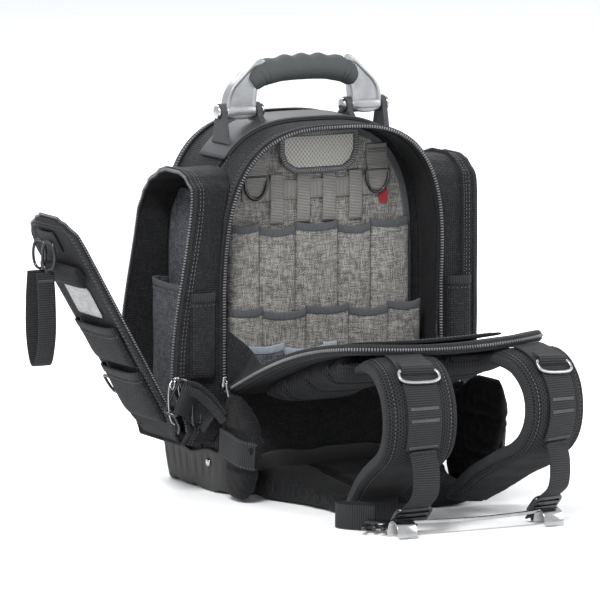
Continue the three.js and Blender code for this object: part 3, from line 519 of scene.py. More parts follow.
class Graph:
    """The node graph of one material."""

    def __init__(self, name: str) -> None:
        """Makes an empty material with one Principled shader."""
        self.material = bpy.data.materials.new(name)
        self.material.use_nodes = True
        self.tree = self.material.node_tree
        self.shader = next(n for n in self.tree.nodes if n.type == "BSDF_PRINCIPLED")

    def node(self, kind: str, settings: dict | None = None, inputs: dict | None = None,
             out: int | str = 0) -> Wire:
        """Adds a node.

        Args:
            kind: node type.
            settings: node properties, set first.
            inputs: socket name or number to a value or Wire.
            out: output to wrap.

        Returns:
            The wrapped output.
        """
        made = self.tree.nodes.new(kind)
        for key, value in (settings or {}).items():
            setattr(made, key, value)
        for key, value in (inputs or {}).items():
            if isinstance(value, Wire):
                self.tree.links.new(value.socket, made.inputs[key])
            else:
                made.inputs[key].default_value = value
        return Wire(self, made.outputs[out])

    def math(self, operation: str, a: Value, b: Value | None = None) -> Wire:
        """A Math node on one or two values."""
        inputs = {0: a} if b is None else {0: a, 1: b}
        return self.node("ShaderNodeMath", {"operation": operation}, inputs)

    def place(self) -> Wire:
        """Object coordinates, in metres."""
        return self.node("ShaderNodeTexCoord", out="Object")

    def facing(self) -> Wire:
        """The surface's direction in object space."""
        return self.node("ShaderNodeTexCoord", out="Normal")

    def cloth(self) -> Wire:
        """The piece's own UV map, in metres."""
        return self.node("ShaderNodeUVMap", {"uv_map": "cloth"})

    def parts(self, vector: Wire) -> tuple[Wire, Wire, Wire]:
        """The three numbers of a vector."""
        first = self.node("ShaderNodeSeparateXYZ", None, {0: vector})
        node = first.socket.node
        return first, Wire(self, node.outputs[1]), Wire(self, node.outputs[2])

    def vector(self, x: Value, y: Value, z: Value = 0.0) -> Wire:
        """A vector of three numbers."""
        return self.node("ShaderNodeCombineXYZ", None, {0: x, 1: y, 2: z})

    def noise(self, where: Wire, scale: float, detail: float = 2.0, roughness: float = 0.5) -> Wire:
        """Noise between about 0.2 and 0.8."""
        return self.node("ShaderNodeTexNoise", None, {
            "Vector": where, "Scale": scale, "Detail": detail, "Roughness": roughness})

    def mix(self, share: Value, low: Wire | Colour, high: Wire | Colour) -> Wire:
        """Colour mix."""
        made = self.tree.nodes.new("ShaderNodeMix")
        made.data_type = "RGBA"
        for number, value in ((0, share), (6, low), (7, high)):
            if isinstance(value, Wire):
                self.tree.links.new(value.socket, made.inputs[number])
            else:
                made.inputs[number].default_value = (*value, 1.0) if isinstance(value, tuple) else value
        return Wire(self, made.outputs[2])

    def bump(self, height: Wire, depth: float, strength: float = 1.0, below: Wire | None = None) -> Wire:
        """A bumped normal; depth in metres is the relief that height 0 to 1 stands for."""
        inputs = {"Height": height, "Distance": depth, "Strength": strength}
        if below is not None:
            inputs["Normal"] = below
        return self.node("ShaderNodeBump", None, inputs)

    def finish(self, colour: Wire | Colour, rough: Value, normal: Wire | None = None, metal: Value = 0.0,
               fixed: dict | None = None) -> bpy.types.Material:
        """Feeds the shader.

        Args:
            colour: base colour.
            rough: roughness.
            normal: bumped normal.
            metal: metallic.
            fixed: other sockets, numbers or colours only.

        Returns:
            The material.
        """
        for key, value in {"Base Color": colour, "Roughness": rough, "Metallic": metal}.items():
            if isinstance(value, Wire):
                self.tree.links.new(value.socket, self.shader.inputs[key])
            else:
                self.shader.inputs[key].default_value = (*value, 1.0) if isinstance(value, tuple) else value
        if normal is not None:
            self.tree.links.new(normal.socket, self.shader.inputs["Normal"])
        for key, value in (fixed or {}).items():
            self.shader.inputs[key].default_value = value
        return self.material


class Lie(Enum):
    """How a pattern lies on a piece."""

    CLOTH = "follows the piece's own UV map"
    FACES = "laid on from the three axes"


def shade(colour: Colour, factor: float) -> Colour:
    """A colour made lighter or darker."""
    return tuple(min(c * factor, 1.0) for c in colour)


@dataclass(frozen=True)
class Finish:
    """A named finish; its material is made once."""

    name: str
    slot: str
    colour: Colour
    lie: Lie = Lie.CLOTH

    def material(self) -> bpy.types.Material:
        """The finish's material, made at first use."""
        found = bpy.data.materials.get(self.name)
        return found if found is not None else self.build(Graph(self.name))

    def build(self, graph: Graph) -> bpy.types.Material:
        """Fills the graph."""
        raise NotImplementedError

    def flat(self, graph: Graph) -> tuple[Wire, Wire]:
        """Two coordinates in metres that run along the surface.

        With ``Lie.FACES`` the pair is picked from the three axes by the direction the surface faces.
        """
        if self.lie is Lie.CLOTH:
            x, y, _ = graph.parts(graph.cloth())
            return x, y
        x, y, z = graph.parts(graph.place())
        nx, _, nz = graph.parts(graph.facing())
        side = (abs(nx)).step(0.70, 0.72)
        top = (abs(nz)).step(0.70, 0.72)
        across = x * (1 - side) + y * side
        up = z * (1 - top) + y * top
        return across, up

    def dress(self, *pieces: bpy.types.Object) -> None:
        """Puts the material on pieces."""
        for piece in pieces:
            piece.data.materials.clear()
            piece.data.materials.append(self.material())
            "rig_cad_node" not in piece


@dataclass(frozen=True)
class Weave(Finish):
    """Plain or basket weave: threads pass over and under each other in a checker."""

    pitch: float = 0.0018
    fleck: float = 0.35
    depth: float = 0.00035
    rough: float = 0.72
    sheen: float = 0.04
    dust: float = 0.05

    def build(self, graph: Graph) -> bpy.types.Material:
        """Thread height is 1 - (2f - 1)^2 across the thread on top; colour flecks follow each thread, and the
        height paints the crowns lighter and the hollows darker as painted highlight and shade.
        """
        u, v = self.flat(graph)
        a, b = u / self.pitch, v / self.pitch
        fa, fb = a.fraction(), b.fraction()
        checker = ((a.floor() + b.floor()) % 2).step(0.4, 0.6)
        hump_a = 1 - (fa * 2 - 1) ** 2
        hump_b = 1 - (fb * 2 - 1) ** 2
        over_a = hump_a * (0.55 + hump_b * 0.45)
        over_b = hump_b * (0.55 + hump_a * 0.45)
        height = over_a * checker + over_b * (1 - checker)
        thread_a = graph.noise(graph.vector(a.floor() * 3.7, v * 90), 1.0, 2.0)
        thread_b = graph.noise(graph.vector(u * 90, b.floor() * 3.7, 5.0), 1.0, 2.0)
        fleck = thread_a * (1 - checker) + thread_b * checker
        broad = graph.noise(graph.place(), 14.0, 3.0, 0.55)
        worn = graph.noise(graph.place(), 55.0, 4.0, 0.7).step(0.52, 0.78)
        # Painted highlight and shade: thread height lightens the crowns and darkens the hollows; the flecks
        # and the broad noise are the cloth's own tone.
        light = fleck.step(0.36, 0.68) * self.fleck * 0.8 + height * 0.34 + broad.step(0.3, 0.7) * 0.08
        base = graph.mix(light, shade(self.colour, 0.22), shade(self.colour, 3.2))
        base = graph.mix(worn * self.dust, base, shade(self.colour, 6.0))
        wavy = graph.bump(graph.noise(graph.place(), 26.0, 3.0, 0.6), 0.0016, 0.5)
        normal = graph.bump(height, self.depth, 1.0, wavy)
        rough = self.rough + (1 - height) * 0.14 + broad * 0.06
        return graph.finish(base, rough, normal, fixed={"Sheen Weight": self.sheen, "Sheen Roughness": 0.45,
                                                         "Specular IOR Level": 0.16})


@dataclass(frozen=True)
class Mesh3D(Finish):
    """Air mesh: an open net of round eyes, painted darker inside them as shade in the holes."""

    eye: float = 0.0032
    rough: float = 0.8

    def build(self, graph: Graph) -> bpy.types.Material:
        """Eyes sit on a staggered grid; height falls with the distance from the nearest rib."""
        u, v = self.flat(graph)
        row = (v / (self.eye * 0.86)).floor()
        shift = (row % 2) * 0.5
        cu = ((u / self.eye + shift).fraction() - 0.5) * 2
        cv = ((v / (self.eye * 0.86)).fraction() - 0.5) * 2
        reach = graph.math("SQRT", cu * cu + cv * cv)
        rib = reach.step(0.52, 0.88)
        worn = graph.noise(graph.place(), 40.0, 4.0, 0.7)
        # Painted shade: the eyes are painted darker and the ribs lighter by the rib height; worn adds random
        # tone.
        base = graph.mix(rib * (0.6 + worn * 0.5), shade(self.colour, 0.35), shade(self.colour, 1.9))
        base = graph.mix(worn.step(0.55, 0.8) * 0.2, base, shade(self.colour, 4.0))
        wavy = graph.bump(graph.noise(graph.place(), 22.0, 3.0, 0.6), 0.002, 0.5)
        normal = graph.bump(rib, 0.0007, 1.0, wavy)
        return graph.finish(base, self.rough + (1 - rib) * 0.12, normal,
                            fixed={"Sheen Weight": 0.04, "Specular IOR Level": 0.14})


@dataclass(frozen=True)
class Webbing(Finish):
    """Ribbed band: V-shaped threads in rows across the band."""

    rib: float = 0.0024
    rough: float = 0.62
    dust: float = 0.1

    def build(self, graph: Graph) -> bpy.types.Material:
        """Height is a sawtooth of ribs along the band, broken into slanted threads across it; the height
        paints the rib crowns lighter and the grooves darker as painted highlight and shade.
        """
        u, v = self.flat(graph)
        slant = abs((v / 0.0046).fraction() - 0.5) * 0.5
        ribs = (u / self.rib + slant).fraction()
        height = 1 - (ribs * 2 - 1) ** 2
        cross = 1 - ((v / 0.0011).fraction() * 2 - 1) ** 2
        rise = height * (0.7 + cross * 0.3)
        broad = graph.noise(graph.place(), 30.0, 3.0, 0.6)
        worn = graph.noise(graph.place(), 90.0, 4.0, 0.75).step(0.5, 0.8)
        # Painted highlight and shade: rib height lightens the crowns and darkens the grooves; the broad noise
        # is the band's own tone.
        base = graph.mix(rise * 0.85 + broad * 0.2, shade(self.colour, 0.3), shade(self.colour, 2.7))
        base = graph.mix(worn * self.dust, base, shade(self.colour, 5.0))
        normal = graph.bump(rise, 0.0009, 1.0)
        return graph.finish(base, self.rough + (1 - rise) * 0.15, normal,
                            fixed={"Sheen Weight": 0.03, "Specular IOR Level": 0.16})


@dataclass(frozen=True)
class Moulded(Finish):
    """Moulded plastic or rubber with a fine grain and rubbed high places."""

    grain: float = 1100.0
    depth: float = 0.00012
    rough: float = 0.45
    scuff: float = 0.25
    lie: Lie = Lie.FACES

    def build(self, graph: Graph) -> bpy.types.Material:
        """Grain from fine noise; scuffs lighten and roughen long thin patches."""
        where = graph.place()
        fine = graph.noise(where, self.grain, 2.0, 0.6)
        broad = graph.noise(where, 18.0, 4.0, 0.6)
        x, y, z = graph.parts(where)
        streak = graph.noise(graph.vector(x * 3.0, y * 3.0, z * 14.0), 22.0, 5.0, 0.75).step(0.56, 0.78)
        base = graph.mix(broad.step(0.35, 0.7), shade(self.colour, 0.75), shade(self.colour, 1.3))
        base = graph.mix(streak * self.scuff, base, shade(self.colour, 3.4))
        normal = graph.bump(fine, self.depth, 0.8, graph.bump(broad, 0.0006, 0.3))
        rough = self.rough + (broad - 0.5) * 0.2 + streak * 0.15
        return graph.finish(base, rough, normal, fixed={"Specular IOR Level": 0.5})


@dataclass(frozen=True)
class Metal(Finish):
    """Cast or drawn metal with fine lines and small dents."""

    rough: float = 0.3
    metal: float = 1.0
    brush: float = 0.3
    cast: float = 0.0
    lie: Lie = Lie.FACES

    def build(self, graph: Graph) -> bpy.types.Material:
        """Lines are noise stretched along X; casting pits are coarse noise under them."""
        where = graph.place()
        x, y, z = graph.parts(where)
        lines = graph.noise(graph.vector(x * 30.0, y * 900.0, z * 900.0), 1.0, 3.0, 0.6)
        pits = graph.noise(where, 420.0, 3.0, 0.6)
        broad = graph.noise(where, 45.0, 3.0, 0.6)
        base = graph.mix(broad.step(0.3, 0.7) * 0.6 + lines * 0.4, shade(self.colour, 0.78),
                         shade(self.colour, 1.18))
        rough = self.rough + (lines - 0.5) * self.brush + (broad - 0.5) * 0.12
        height = lines * (1 - self.cast) + pits * self.cast
        normal = graph.bump(height, 0.00004 + 0.00022 * self.cast, 0.7)
        return graph.finish(base, rough, normal, self.metal, fixed={"Specular IOR Level": 0.5})


@dataclass(frozen=True)
class Ground(Finish):
    """Pale studio floor."""

    def build(self, graph: Graph) -> bpy.types.Material:
        """A plain matt floor with a trace of tone."""
        tone = graph.noise(graph.place(), 3.0, 3.0)
        base = graph.mix(tone, shade(self.colour, 0.985), shade(self.colour, 1.01))
        return graph.finish(base, 0.7, None)


SHELL = Weave("black_nylon", "shell_fabric", (0.0105, 0.0107, 0.0118), pitch=0.0025, fleck=0.36, depth=0.0007)
SHELL_FACES = Weave("black_nylon_faces", "shell_fabric", (0.0105, 0.0107, 0.0118), Lie.FACES, pitch=0.0025,
                    fleck=0.36)
# Painted shade: a darker copy of the black nylon for the lumbar pad and belt wings, which lie in shade under
# the panel.
PAD_PAINTED_SHADE = Weave("pad_nylon", "pad_fabric", (0.0042, 0.0043, 0.0048), pitch=0.0026, fleck=0.35, depth=0.0006)
AIR = Mesh3D("air_mesh", "pad_fabric", (0.0115, 0.0118, 0.013))
HEATHER = Weave("grey_heather", "board_fabric", (0.088, 0.085, 0.080), pitch=0.0013, fleck=0.95, depth=0.0002,
                rough=0.82, sheen=0.1, dust=0.05)
LINING = Weave("ribbed_lining", "lining_fabric", (0.046, 0.049, 0.055), pitch=0.0026, fleck=0.5, depth=0.0004,
               rough=0.7, dust=0.05)
BAND = Webbing("black_webbing", "webbing", (0.0115, 0.0118, 0.0128))
BAND_FACES = Webbing("black_webbing_faces", "webbing", (0.013, 0.0135, 0.015), Lie.FACES)
GREY_BAND = Webbing("grey_webbing", "board_fabric", (0.12, 0.117, 0.111), rib=0.0016)
BINDING = Webbing("dark_binding", "board_fabric", (0.045, 0.048, 0.052), rib=0.0014)
PALE_BINDING = Webbing("blue_grey_binding", "lining_fabric", (0.16, 0.18, 0.205), rib=0.0014)
TAPE = Weave("zip_tape", "zip_chain", (0.012, 0.0125, 0.0135), pitch=0.0011, fleck=0.3, depth=0.0002)
# Partly painted glint: the teeth's own dark colour is raised to a lighter grey to paint the glint along the
# chain.
TEETH = Moulded("zip_teeth", "zip_chain", (0.12, 0.12, 0.125), rough=0.32, scuff=0.4)
THREAD = Moulded("thread", "webbing", (0.075, 0.077, 0.08), grain=2600.0, rough=0.55, scuff=0.2)
GREY_THREAD = Moulded("grey_thread", "board_fabric", (0.26, 0.255, 0.245), grain=2600.0, rough=0.6, scuff=0.1)
TRAY_PLASTIC = Moulded("tray_plastic", "tray_plastic", (0.0105, 0.0106, 0.0118), grain=700.0, rough=0.36,
                       scuff=0.35)
SADDLE_PLASTIC = Moulded("saddle_plastic", "tray_plastic", (0.030, 0.031, 0.034), grain=600.0, rough=0.62,
                         scuff=0.3)
GLOSS = Moulded("gloss_plastic", "ring_plastic", (0.012, 0.012, 0.0135), grain=300.0, depth=0.00002,
                rough=0.16, scuff=0.12)
GRIP = Moulded("grip_rubber", "grip_rubber", (0.034, 0.036, 0.040), grain=900.0, rough=0.6, scuff=0.2)
CAST = Metal("cast_grey", "cast_metal", (0.34, 0.345, 0.355), rough=0.36, metal=0.75, brush=0.08, cast=1.0)
STEEL = Metal("bright_steel", "steel", (0.42, 0.42, 0.42), rough=0.2, brush=0.25)
BRUSHED = Metal("brushed_steel", "steel", (0.40, 0.40, 0.40), rough=0.32, brush=0.4)
PATCH = Weave("pale_patch", "label", (0.40, 0.40, 0.39), pitch=0.0012, fleck=0.3, depth=0.0002, dust=0.1)
FLOOR = Ground("pale_floor", "", (0.90, 0.90, 0.90))


def add_piece(piece: bpy.types.Object, finish: Finish, *nodes: str, body: str = ROOT) -> bpy.types.Object:
    """Dresses a new piece, lets it ride on its body and stand for CAD nodes.

    Args:
        piece: the piece.
        finish: its finish.
        nodes: CAD nodes it replaces.
        body: CAD body it rides on.

    Returns:
        The piece.
    """
    if not piece.data.materials:
        finish.dress(piece)
    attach(piece, body)
    if nodes:
        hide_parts(*nodes)
    log.info("%s: %d faces", piece.name, len(piece.data.polygons))
    return piece


# Padded pieces


def inflated(piece: bpy.types.Object, voxel: float = 5.0, pressure: float = 4.0, cap: float = 6.0,
             levels: int = 1, frames: int = 20) -> bpy.types.Object:
    """Puffs a closed form with Cloth: remesh, 20 frames under pressure, moves capped, then smoothed.

    Args:
        piece: closed form, a little smaller than the finished pad.
        voxel: remesh size in millimetres.
        pressure: air pressure.
        cap: furthest a point may move, in millimetres.
        levels: subdivision after it.
        frames: frames simulated.

    Returns:
        The piece, with no Cloth left on it.
    """
    remesh = piece.modifiers.new("even", "REMESH")
    remesh.mode = "VOXEL"
    remesh.voxel_size = voxel * MM
    remesh.use_smooth_shade = True
    apply_modifiers(piece)
    count = len(piece.data.vertices)
    rest = np.empty(count * 3, np.float32)
    piece.data.vertices.foreach_get("co", rest)
    cloth = piece.modifiers.new("cloth", "CLOTH")
    cloth.settings.use_pressure = True
    cloth.settings.uniform_pressure_force = pressure
    cloth.settings.effector_weights.gravity = 0
    cloth.settings.quality = 4
    cloth.settings.tension_stiffness = 12
    cloth.settings.bending_stiffness = 0.6
    cloth.collision_settings.use_collision = False
    cloth.point_cache.frame_start = 1
    cloth.point_cache.frame_end = frames
    scene = bpy.context.scene
    for frame in range(1, frames + 1):
        scene.frame_set(frame)
    bpy.context.view_layer.update()
    done = piece.evaluated_get(bpy.context.evaluated_depsgraph_get())
    moved = np.empty(count * 3, np.float32)
    done.data.vertices.foreach_get("co", moved)
    piece.modifiers.remove(cloth)
    move = (moved - rest).reshape(-1, 3)
    size = np.linalg.norm(move, axis=1, keepdims=True)
    move *= np.minimum(1.0, cap * MM / np.maximum(size, 1e-9))
    piece.data.vertices.foreach_set("co", (rest + move.ravel()).astype(np.float32))
    scene.frame_set(1)
    piece.data.update()
    if levels:
        subdivided(piece, levels)
        apply_modifiers(piece)
    piece.data.polygons.foreach_set("use_smooth", [True] * len(piece.data.polygons))
    return piece


def vertex_points(piece: bpy.types.Object) -> Array:
    """The mesh's points in the maker's millimetres."""
    co = np.empty(len(piece.data.vertices) * 3, np.float32)
    piece.data.vertices.foreach_get("co", co)
    return co.reshape(-1, 3).astype(float) / MM - SHIFT


def set_points(piece: bpy.types.Object, points: Array) -> None:
    """Puts points, in the maker's millimetres, back into the mesh."""
    piece.data.vertices.foreach_set("co", to_frame(points).astype(np.float32).ravel())
    piece.data.update()


def sewn(piece: bpy.types.Object, distance: Callable[[Array], Array], depth: float, width: float,
         centre: Callable[[Array], Array]) -> None:
    """Presses a sewn channel into a pad: points move inwards by depth * exp(-(d / width)^2).

    Args:
        piece: pad.
        distance: distance of each point from the seam line.
        depth: depth of the channel.
        width: its half width.
        centre: the point that each point moves towards.
    """
    points = vertex_points(piece)
    inward = unit(centre(points) - points)
    sink = depth * np.exp(-((distance(points) / width) ** 2))
    set_points(piece, points + inward * sink[:, None])


def slab(name: str, place: Callable[[Array, Array, Array], Array], thickness: float, rows: int = 48,
         columns: int = 30, edge: float = 4.0, end: float = 6.0) -> bpy.types.Object:
    """A padded board with soft edges: half thickness T/2 (1 - |t|^edge)^(1/edge) (1 - |s|^end)^(1/end).

    Args:
        name: piece name.
        place: maps s, t in -1..1 and depth in millimetres, from the middle layer, to points.
        thickness: full thickness.
        rows: rows along s.
        columns: columns across t on one face.
        edge: squareness across.
        end: squareness along.

    Returns:
        The closed slab.
    """
    s = np.sin(np.linspace(-1, 1, rows) * math.pi / 2 * 0.985)
    t = np.sin(np.linspace(-1, 1, columns) * math.pi / 2)
    there = np.concatenate([t, t[::-1][1:-1]])
    sign = np.concatenate([np.ones(columns), -np.ones(columns - 2)])
    gs, gt = np.meshgrid(s, there, indexing="ij")
    swell = (1 - np.abs(gt) ** edge) ** (1 / edge) * (1 - np.abs(gs) ** end) ** (1 / end)
    return tidy_normals(grid(name, place(gs, gt, sign * swell * thickness / 2), wrap=True, caps=True), 0.01)


# The bag's outline


@dataclass(frozen=True)
class Outline:
    """Sizes of the bag's body that several pieces share, and curves read from them."""

    half: float = 128.0
    spring: float = 210.0
    top: float = 380.0
    power: float = 3.0
    wall: float = 3.0
    tray_height: float = 47.0
    taper: float = 5.0
    corner: float = 27.0
    opening: float = 112.0
    divider_front: float = -41.0
    divider_rear: float = -37.0
    gap: float = 0.3

    def arch_half(self, z: Array, half: float | None = None, top: float | None = None) -> Array:
        """Half width at a height: straight to the spring, then half (1 - rise^3)^(1/3)."""
        half = self.half if half is None else half
        top = self.top if top is None else top
        rise = np.clip((np.asarray(z, float) - self.spring) / (top - self.spring), 0, 1)
        return half * (1 - rise**self.power) ** (1 / self.power)

    def base_taper(self, z: Array) -> Array:
        """How far the base draws in near the floor."""
        return self.taper * np.clip(1 - np.asarray(z, float) / self.tray_height, 0, 1) ** 1.5

    def body_half(self, z: Array, inset: float = 0.0) -> Array:
        """Half width of the body."""
        return self.arch_half(z, self.half - inset, self.top - inset) - self.base_taper(z)

    def front_edge(self, z: Array) -> Array:
        """Y of the body's front edge."""
        z = np.asarray(z, float)
        lean = 14 * np.clip((z - self.spring) / (self.top - self.spring), 0, None)
        return eased([(self.tray_height, -95), (self.opening, -84)], z) - lean + self.base_taper(z)

    def rear_edge(self, z: Array) -> Array:
        """Y of the body's rear edge."""
        return eased([(48, 66), (66, 56)], z) - self.base_taper(z)

    def front_corner(self, z: Array) -> Array:
        """Corner radius at the front."""
        return eased([(self.tray_height, self.corner), (self.opening, 3)], z)

    def rear_corner(self, z: Array) -> Array:
        """Corner radius at the rear."""
        return eased([(self.tray_height, self.corner), (66, 3)], z)

    def arch(self, inset: float, bottom: float, count: int) -> tuple[Array, Array]:
        """Points (x, z) along the arch from bottom left over the top, and their outward directions."""
        half, top = self.half - inset, self.top - inset
        turn = np.linspace(0, math.pi / 2, 200)
        x = half * np.cos(turn) ** (2 / self.power)
        z = self.spring + (top - self.spring) * np.sin(turn) ** (2 / self.power)
        right = np.vstack([[half, bottom], np.stack([x, z], 1)])
        left = right[::-1] * [-1, 1]
        path = resample(np.vstack([left[::-1], right[::-1][1:]]), count)
        along = unit(np.gradient(path, axis=0))
        return path, np.stack([-along[:, 1], along[:, 0]], 1)


BAG = Outline()


def arch_height(x: Array) -> Array:
    """Height of the body's outer face over x."""
    share = np.clip(np.abs(x) / BAG.half, 0, 1)
    return BAG.spring + (BAG.top - BAG.spring) * (1 - share**BAG.power) ** (1 / BAG.power)


def upright(outline: Array, y: Array | float) -> Array:
    """Stands an outline of x and z up at the depth y."""
    return np.stack([outline[:, 0], np.broadcast_to(y, len(outline)), outline[:, 1]], 1)


@dataclass
class Shell:
    """The two fabric shells of the body, the divider and the domed rear cover."""

    arch_steps: int = 180
    floor: float = 4.3
    cover_start: float = 56.3
    cover_depth: float = 17.0
    cover_bottom: float = 68.0

    def band(self, name: str, start: float, edge: Callable[[Array], Array], corner: Callable[[Array], Array],
             sign: float) -> bpy.types.Object:
        """The gusset over the arch: outer and inner face, from a fixed Y to the edge less the corner.

        Args:
            name: piece name.
            start: Y of the divider side.
            edge: Y of the open edge by height.
            corner: corner radius by height.
            sign: -1 to the front, 1 to the rear.

        Returns:
            The closed band.
        """
        path, out = BAG.arch(0, self.floor, self.arch_steps)
        x, z = path.T
        squeeze = BAG.base_taper(z)
        far = edge(z) - sign * np.maximum(corner(z) - 3.2, 0)
        shares = np.concatenate([np.linspace(0, 0.93, 14), [0.97, 1.0]])
        shares = np.concatenate([shares, shares[::-1]])
        inset = np.concatenate([np.zeros(14), [0.15, 0.9], [2.1, 2.85], np.full(14, 3.0)])
        y = start + (far - start)[:, None] * shares
        px = (x - np.sign(x) * squeeze)[:, None] - out[:, :1] * inset
        pz = z[:, None] - out[:, 1:] * inset
        points = np.stack([px, y, pz], -1)
        soft = 0.45 + 0.45 * ripple(points, 70, 1) + 0.3 * ripple(points, 17, 2)
        fade = np.clip((inset < 1) * np.sin(math.pi * np.clip(shares, 0.02, 1)) ** 0.5, 0, 1)
        sink = np.maximum(soft, 0) * fade
        points[..., 0] -= out[:, :1] * sink
        points[..., 2] -= out[:, 1:] * sink
        return tidy_normals(grid(name, points, wrap=True, caps=True))

    def apron(self, name: str, edge: Callable[[Array], Array], corner: Callable[[Array], Array], top: float,
              sign: float) -> bpy.types.Object:
        """The wall across the front or rear below the opening, with its round corners.

        Args:
            name: piece name.
            edge: Y of the wall by height.
            corner: corner radius by height.
            top: height of its upper edge.
            sign: -1 to the front, 1 to the rear.

        Returns:
            The closed wall.
        """
        z = np.concatenate([np.linspace(self.floor, 60, 12), np.linspace(66, top, 10)])
        turn = np.linspace(0, math.pi / 2, 9)
        flat = np.linspace(-1, 1, 40)[1:-1]

        def ring(inset: float) -> Array:
            """One open line of the wall at every height."""
            half = BAG.body_half(z) - inset
            radius = np.maximum(corner(z) - inset, 0.3)
            wall = edge(z) - sign * inset
            lx = (-(half - radius))[:, None] - radius[:, None] * np.cos(turn)
            ly = (wall - sign * radius)[:, None] + sign * radius[:, None] * np.sin(turn)
            mx = flat * (half - radius)[:, None]
            my = np.broadcast_to(wall[:, None], mx.shape)
            px = np.concatenate([lx, mx, -lx[:, ::-1]], 1)
            py = np.concatenate([ly, my, ly[:, ::-1]], 1)
            return np.stack([px, py, np.broadcast_to(z[:, None], px.shape)], -1)

        outer, inner = ring(0.0), ring(3.0)
        outer[..., 1] -= sign * np.clip(0.5 + 0.5 * ripple(outer, 60, 3), 0, 1) * 0.9
        return tidy_normals(grid(name, np.concatenate([outer, inner[:, ::-1]], 1), wrap=True, caps=True))

    def cover(self) -> bpy.types.Object:
        """Domed rear cover: outline rings that draw in as they rise, then close over a slightly full face."""
        path, _ = BAG.arch(0, self.cover_bottom, 150)
        floor = np.stack([np.linspace(BAG.half, -BAG.half, 40)[1:-1], np.full(38, self.cover_bottom)], 1)
        outline = np.vstack([path, floor])
        middle = np.array([0.0, 214.0])
        reach = np.linalg.norm(outline - middle, axis=1)
        climb = np.linspace(0, 0.9, 12)
        rise = np.concatenate([climb, [0.95, 0.985, 1.0], np.ones(12)])
        inset = np.concatenate([np.interp(climb, [0, 0.45, 0.8, 0.95, 1], [0, 0.5, 4, 13, 26]), [14, 20, 26]])
        share = 1 - inset[:, None] / reach
        share = np.vstack([share, share[-1] * np.linspace(0.92, 0.0, 12)[:, None]])
        points = np.empty((len(rise), len(outline), 3))
        points[..., 0] = middle[0] + (outline[:, 0] - middle[0]) * share
        points[..., 2] = middle[1] + (outline[:, 1] - middle[1]) * share
        points[..., 1] = self.cover_start + rise[:, None] * (self.cover_depth - 2.5)
        waves = 0.8 * ripple(points, 90, 4) * np.clip(1 - share, 0, 1)
        points[..., 1] += 2.2 * np.clip(1 - share**4, 0, 1) + waves
        points[-1] = points[-1].mean(0)
        face = grid("rear_cover_cloth", points, wrap=True)
        tidy_normals(face, 0.05)
        thickened(face, 2.4, -1)
        return apply_modifiers(face)

    def build(self) -> None:
        """Builds and dresses the shells."""
        front = joined("front_gusset", [
            self.band("front_band", BAG.divider_front - BAG.gap, BAG.front_edge, BAG.front_corner, -1),
            self.apron("front_apron", BAG.front_edge, BAG.front_corner, BAG.opening, -1)])
        add_piece(front, SHELL, "front_shell")
        rear = joined("rear_gusset", [
            self.band("rear_band", BAG.divider_rear + BAG.gap, BAG.rear_edge, BAG.rear_corner, 1),
            self.apron("rear_apron", BAG.rear_edge, BAG.rear_corner, self.cover_bottom, 1)])
        add_piece(rear, SHELL, "rear_shell")
        add_piece(self.cover(), SHELL, "rear_cover")
        SHELL_FACES.dress(FRAME["nodes"]["divider"])
        self.seams()

    def seams(self) -> None:
        """Rows of stitching and piping on the gusset, and the rear cover's piping."""
        rows = []
        for inset, y0 in ((-0.1, -33.0), (-0.1, -45.0)):
            path, out = BAG.arch(inset, 60, 260)
            rows.append(stitches("seam", upright(path, y0), upright(out, 0.0)))
        path, out = BAG.arch(0, BAG.opening + 4, 240)
        edge = BAG.front_edge(path[:, 1])
        for back in (8.5, 12.0):
            rows.append(stitches("seam", upright(path, edge + back), upright(out, 0.0)))
        add_piece(joined("gusset_stitching", rows), THREAD)
        path, _ = BAG.arch(-0.4, BAG.opening + 2, 220)
        line = upright(path, BAG.front_edge(path[:, 1]) + 3.2)
        piping = carried("opening_piping", line, oval(4.4, 1.7, 10, 2.6), vec(0, 1, 0), blunt=2)
        add_piece(piping, BAND)
        path, _ = BAG.arch(1.0, self.cover_bottom + 1, 200)
        line = upright(path, self.cover_start + 1.0)
        add_piece(carried("cover_piping", line, oval(3.6, 3.6, 10), vec(0, 1, 0), blunt=2), BAND)


@dataclass
class ZipLine:
    """A zip: woven tape and a row of teeth along a path."""

    name: str
    path: Array
    out: Array
    tape_width: float = 5.0
    tape_thickness: float = 1.1
    tooth: float = 2.9
    proud: float = 1.5
    teeth_side: float = -1.0

    def build(self, *nodes: str) -> None:
        """Builds tape and teeth; the tape lies along ``out``, the teeth stand on its edge.

        Args:
            nodes: CAD nodes it stands for.
        """
        tangent = unit(np.gradient(self.path, axis=0))
        across = unit(self.out - (self.out * tangent).sum(1, keepdims=True) * tangent)
        tape = carried(self.name, self.path, rounded_box(self.tape_width, self.tape_thickness, 0.4, 2),
                       across, blunt=1)
        add_piece(tape, TAPE, *nodes)
        count = int(path_length(self.path) / self.tooth)
        both = resample(np.concatenate([self.path, across], 1), count)
        place, side = both[:, :3], unit(both[:, 3:])
        run = unit(np.gradient(place, axis=0))
        lift = np.cross(run, side) * self.teeth_side
        centres = place + lift * (self.tape_thickness / 2 + self.proud / 2 - 0.2)
        teeth = box_copies(f"{self.name}_teeth", centres, run, side, (self.tooth * 0.52, 3.6, self.proud))
        add_piece(teeth, TEETH)


@dataclass
class Zips:
    """Zips of the front opening and of the rear compartment."""

    lead: float = 2.3
    rear_y: float = 51.0

    def build(self) -> None:
        """Builds both zips."""
        path, out = BAG.arch(1.5, BAG.opening + 3, 230)
        line = upright(path, BAG.front_edge(path[:, 1]) - self.lead)
        ZipLine("front_zip_tape", line, upright(out, 0.0), teeth_side=1.0).build("front_zip")
        path, _ = BAG.arch(-1.3, 80, 230)
        backward = np.broadcast_to(vec(0, 1, 0), (230, 3)).copy()
        ZipLine("rear_zip_tape", upright(path, self.rear_y), backward, tape_width=8.0, proud=1.0,
                teeth_side=1.0).build("rear_zip")


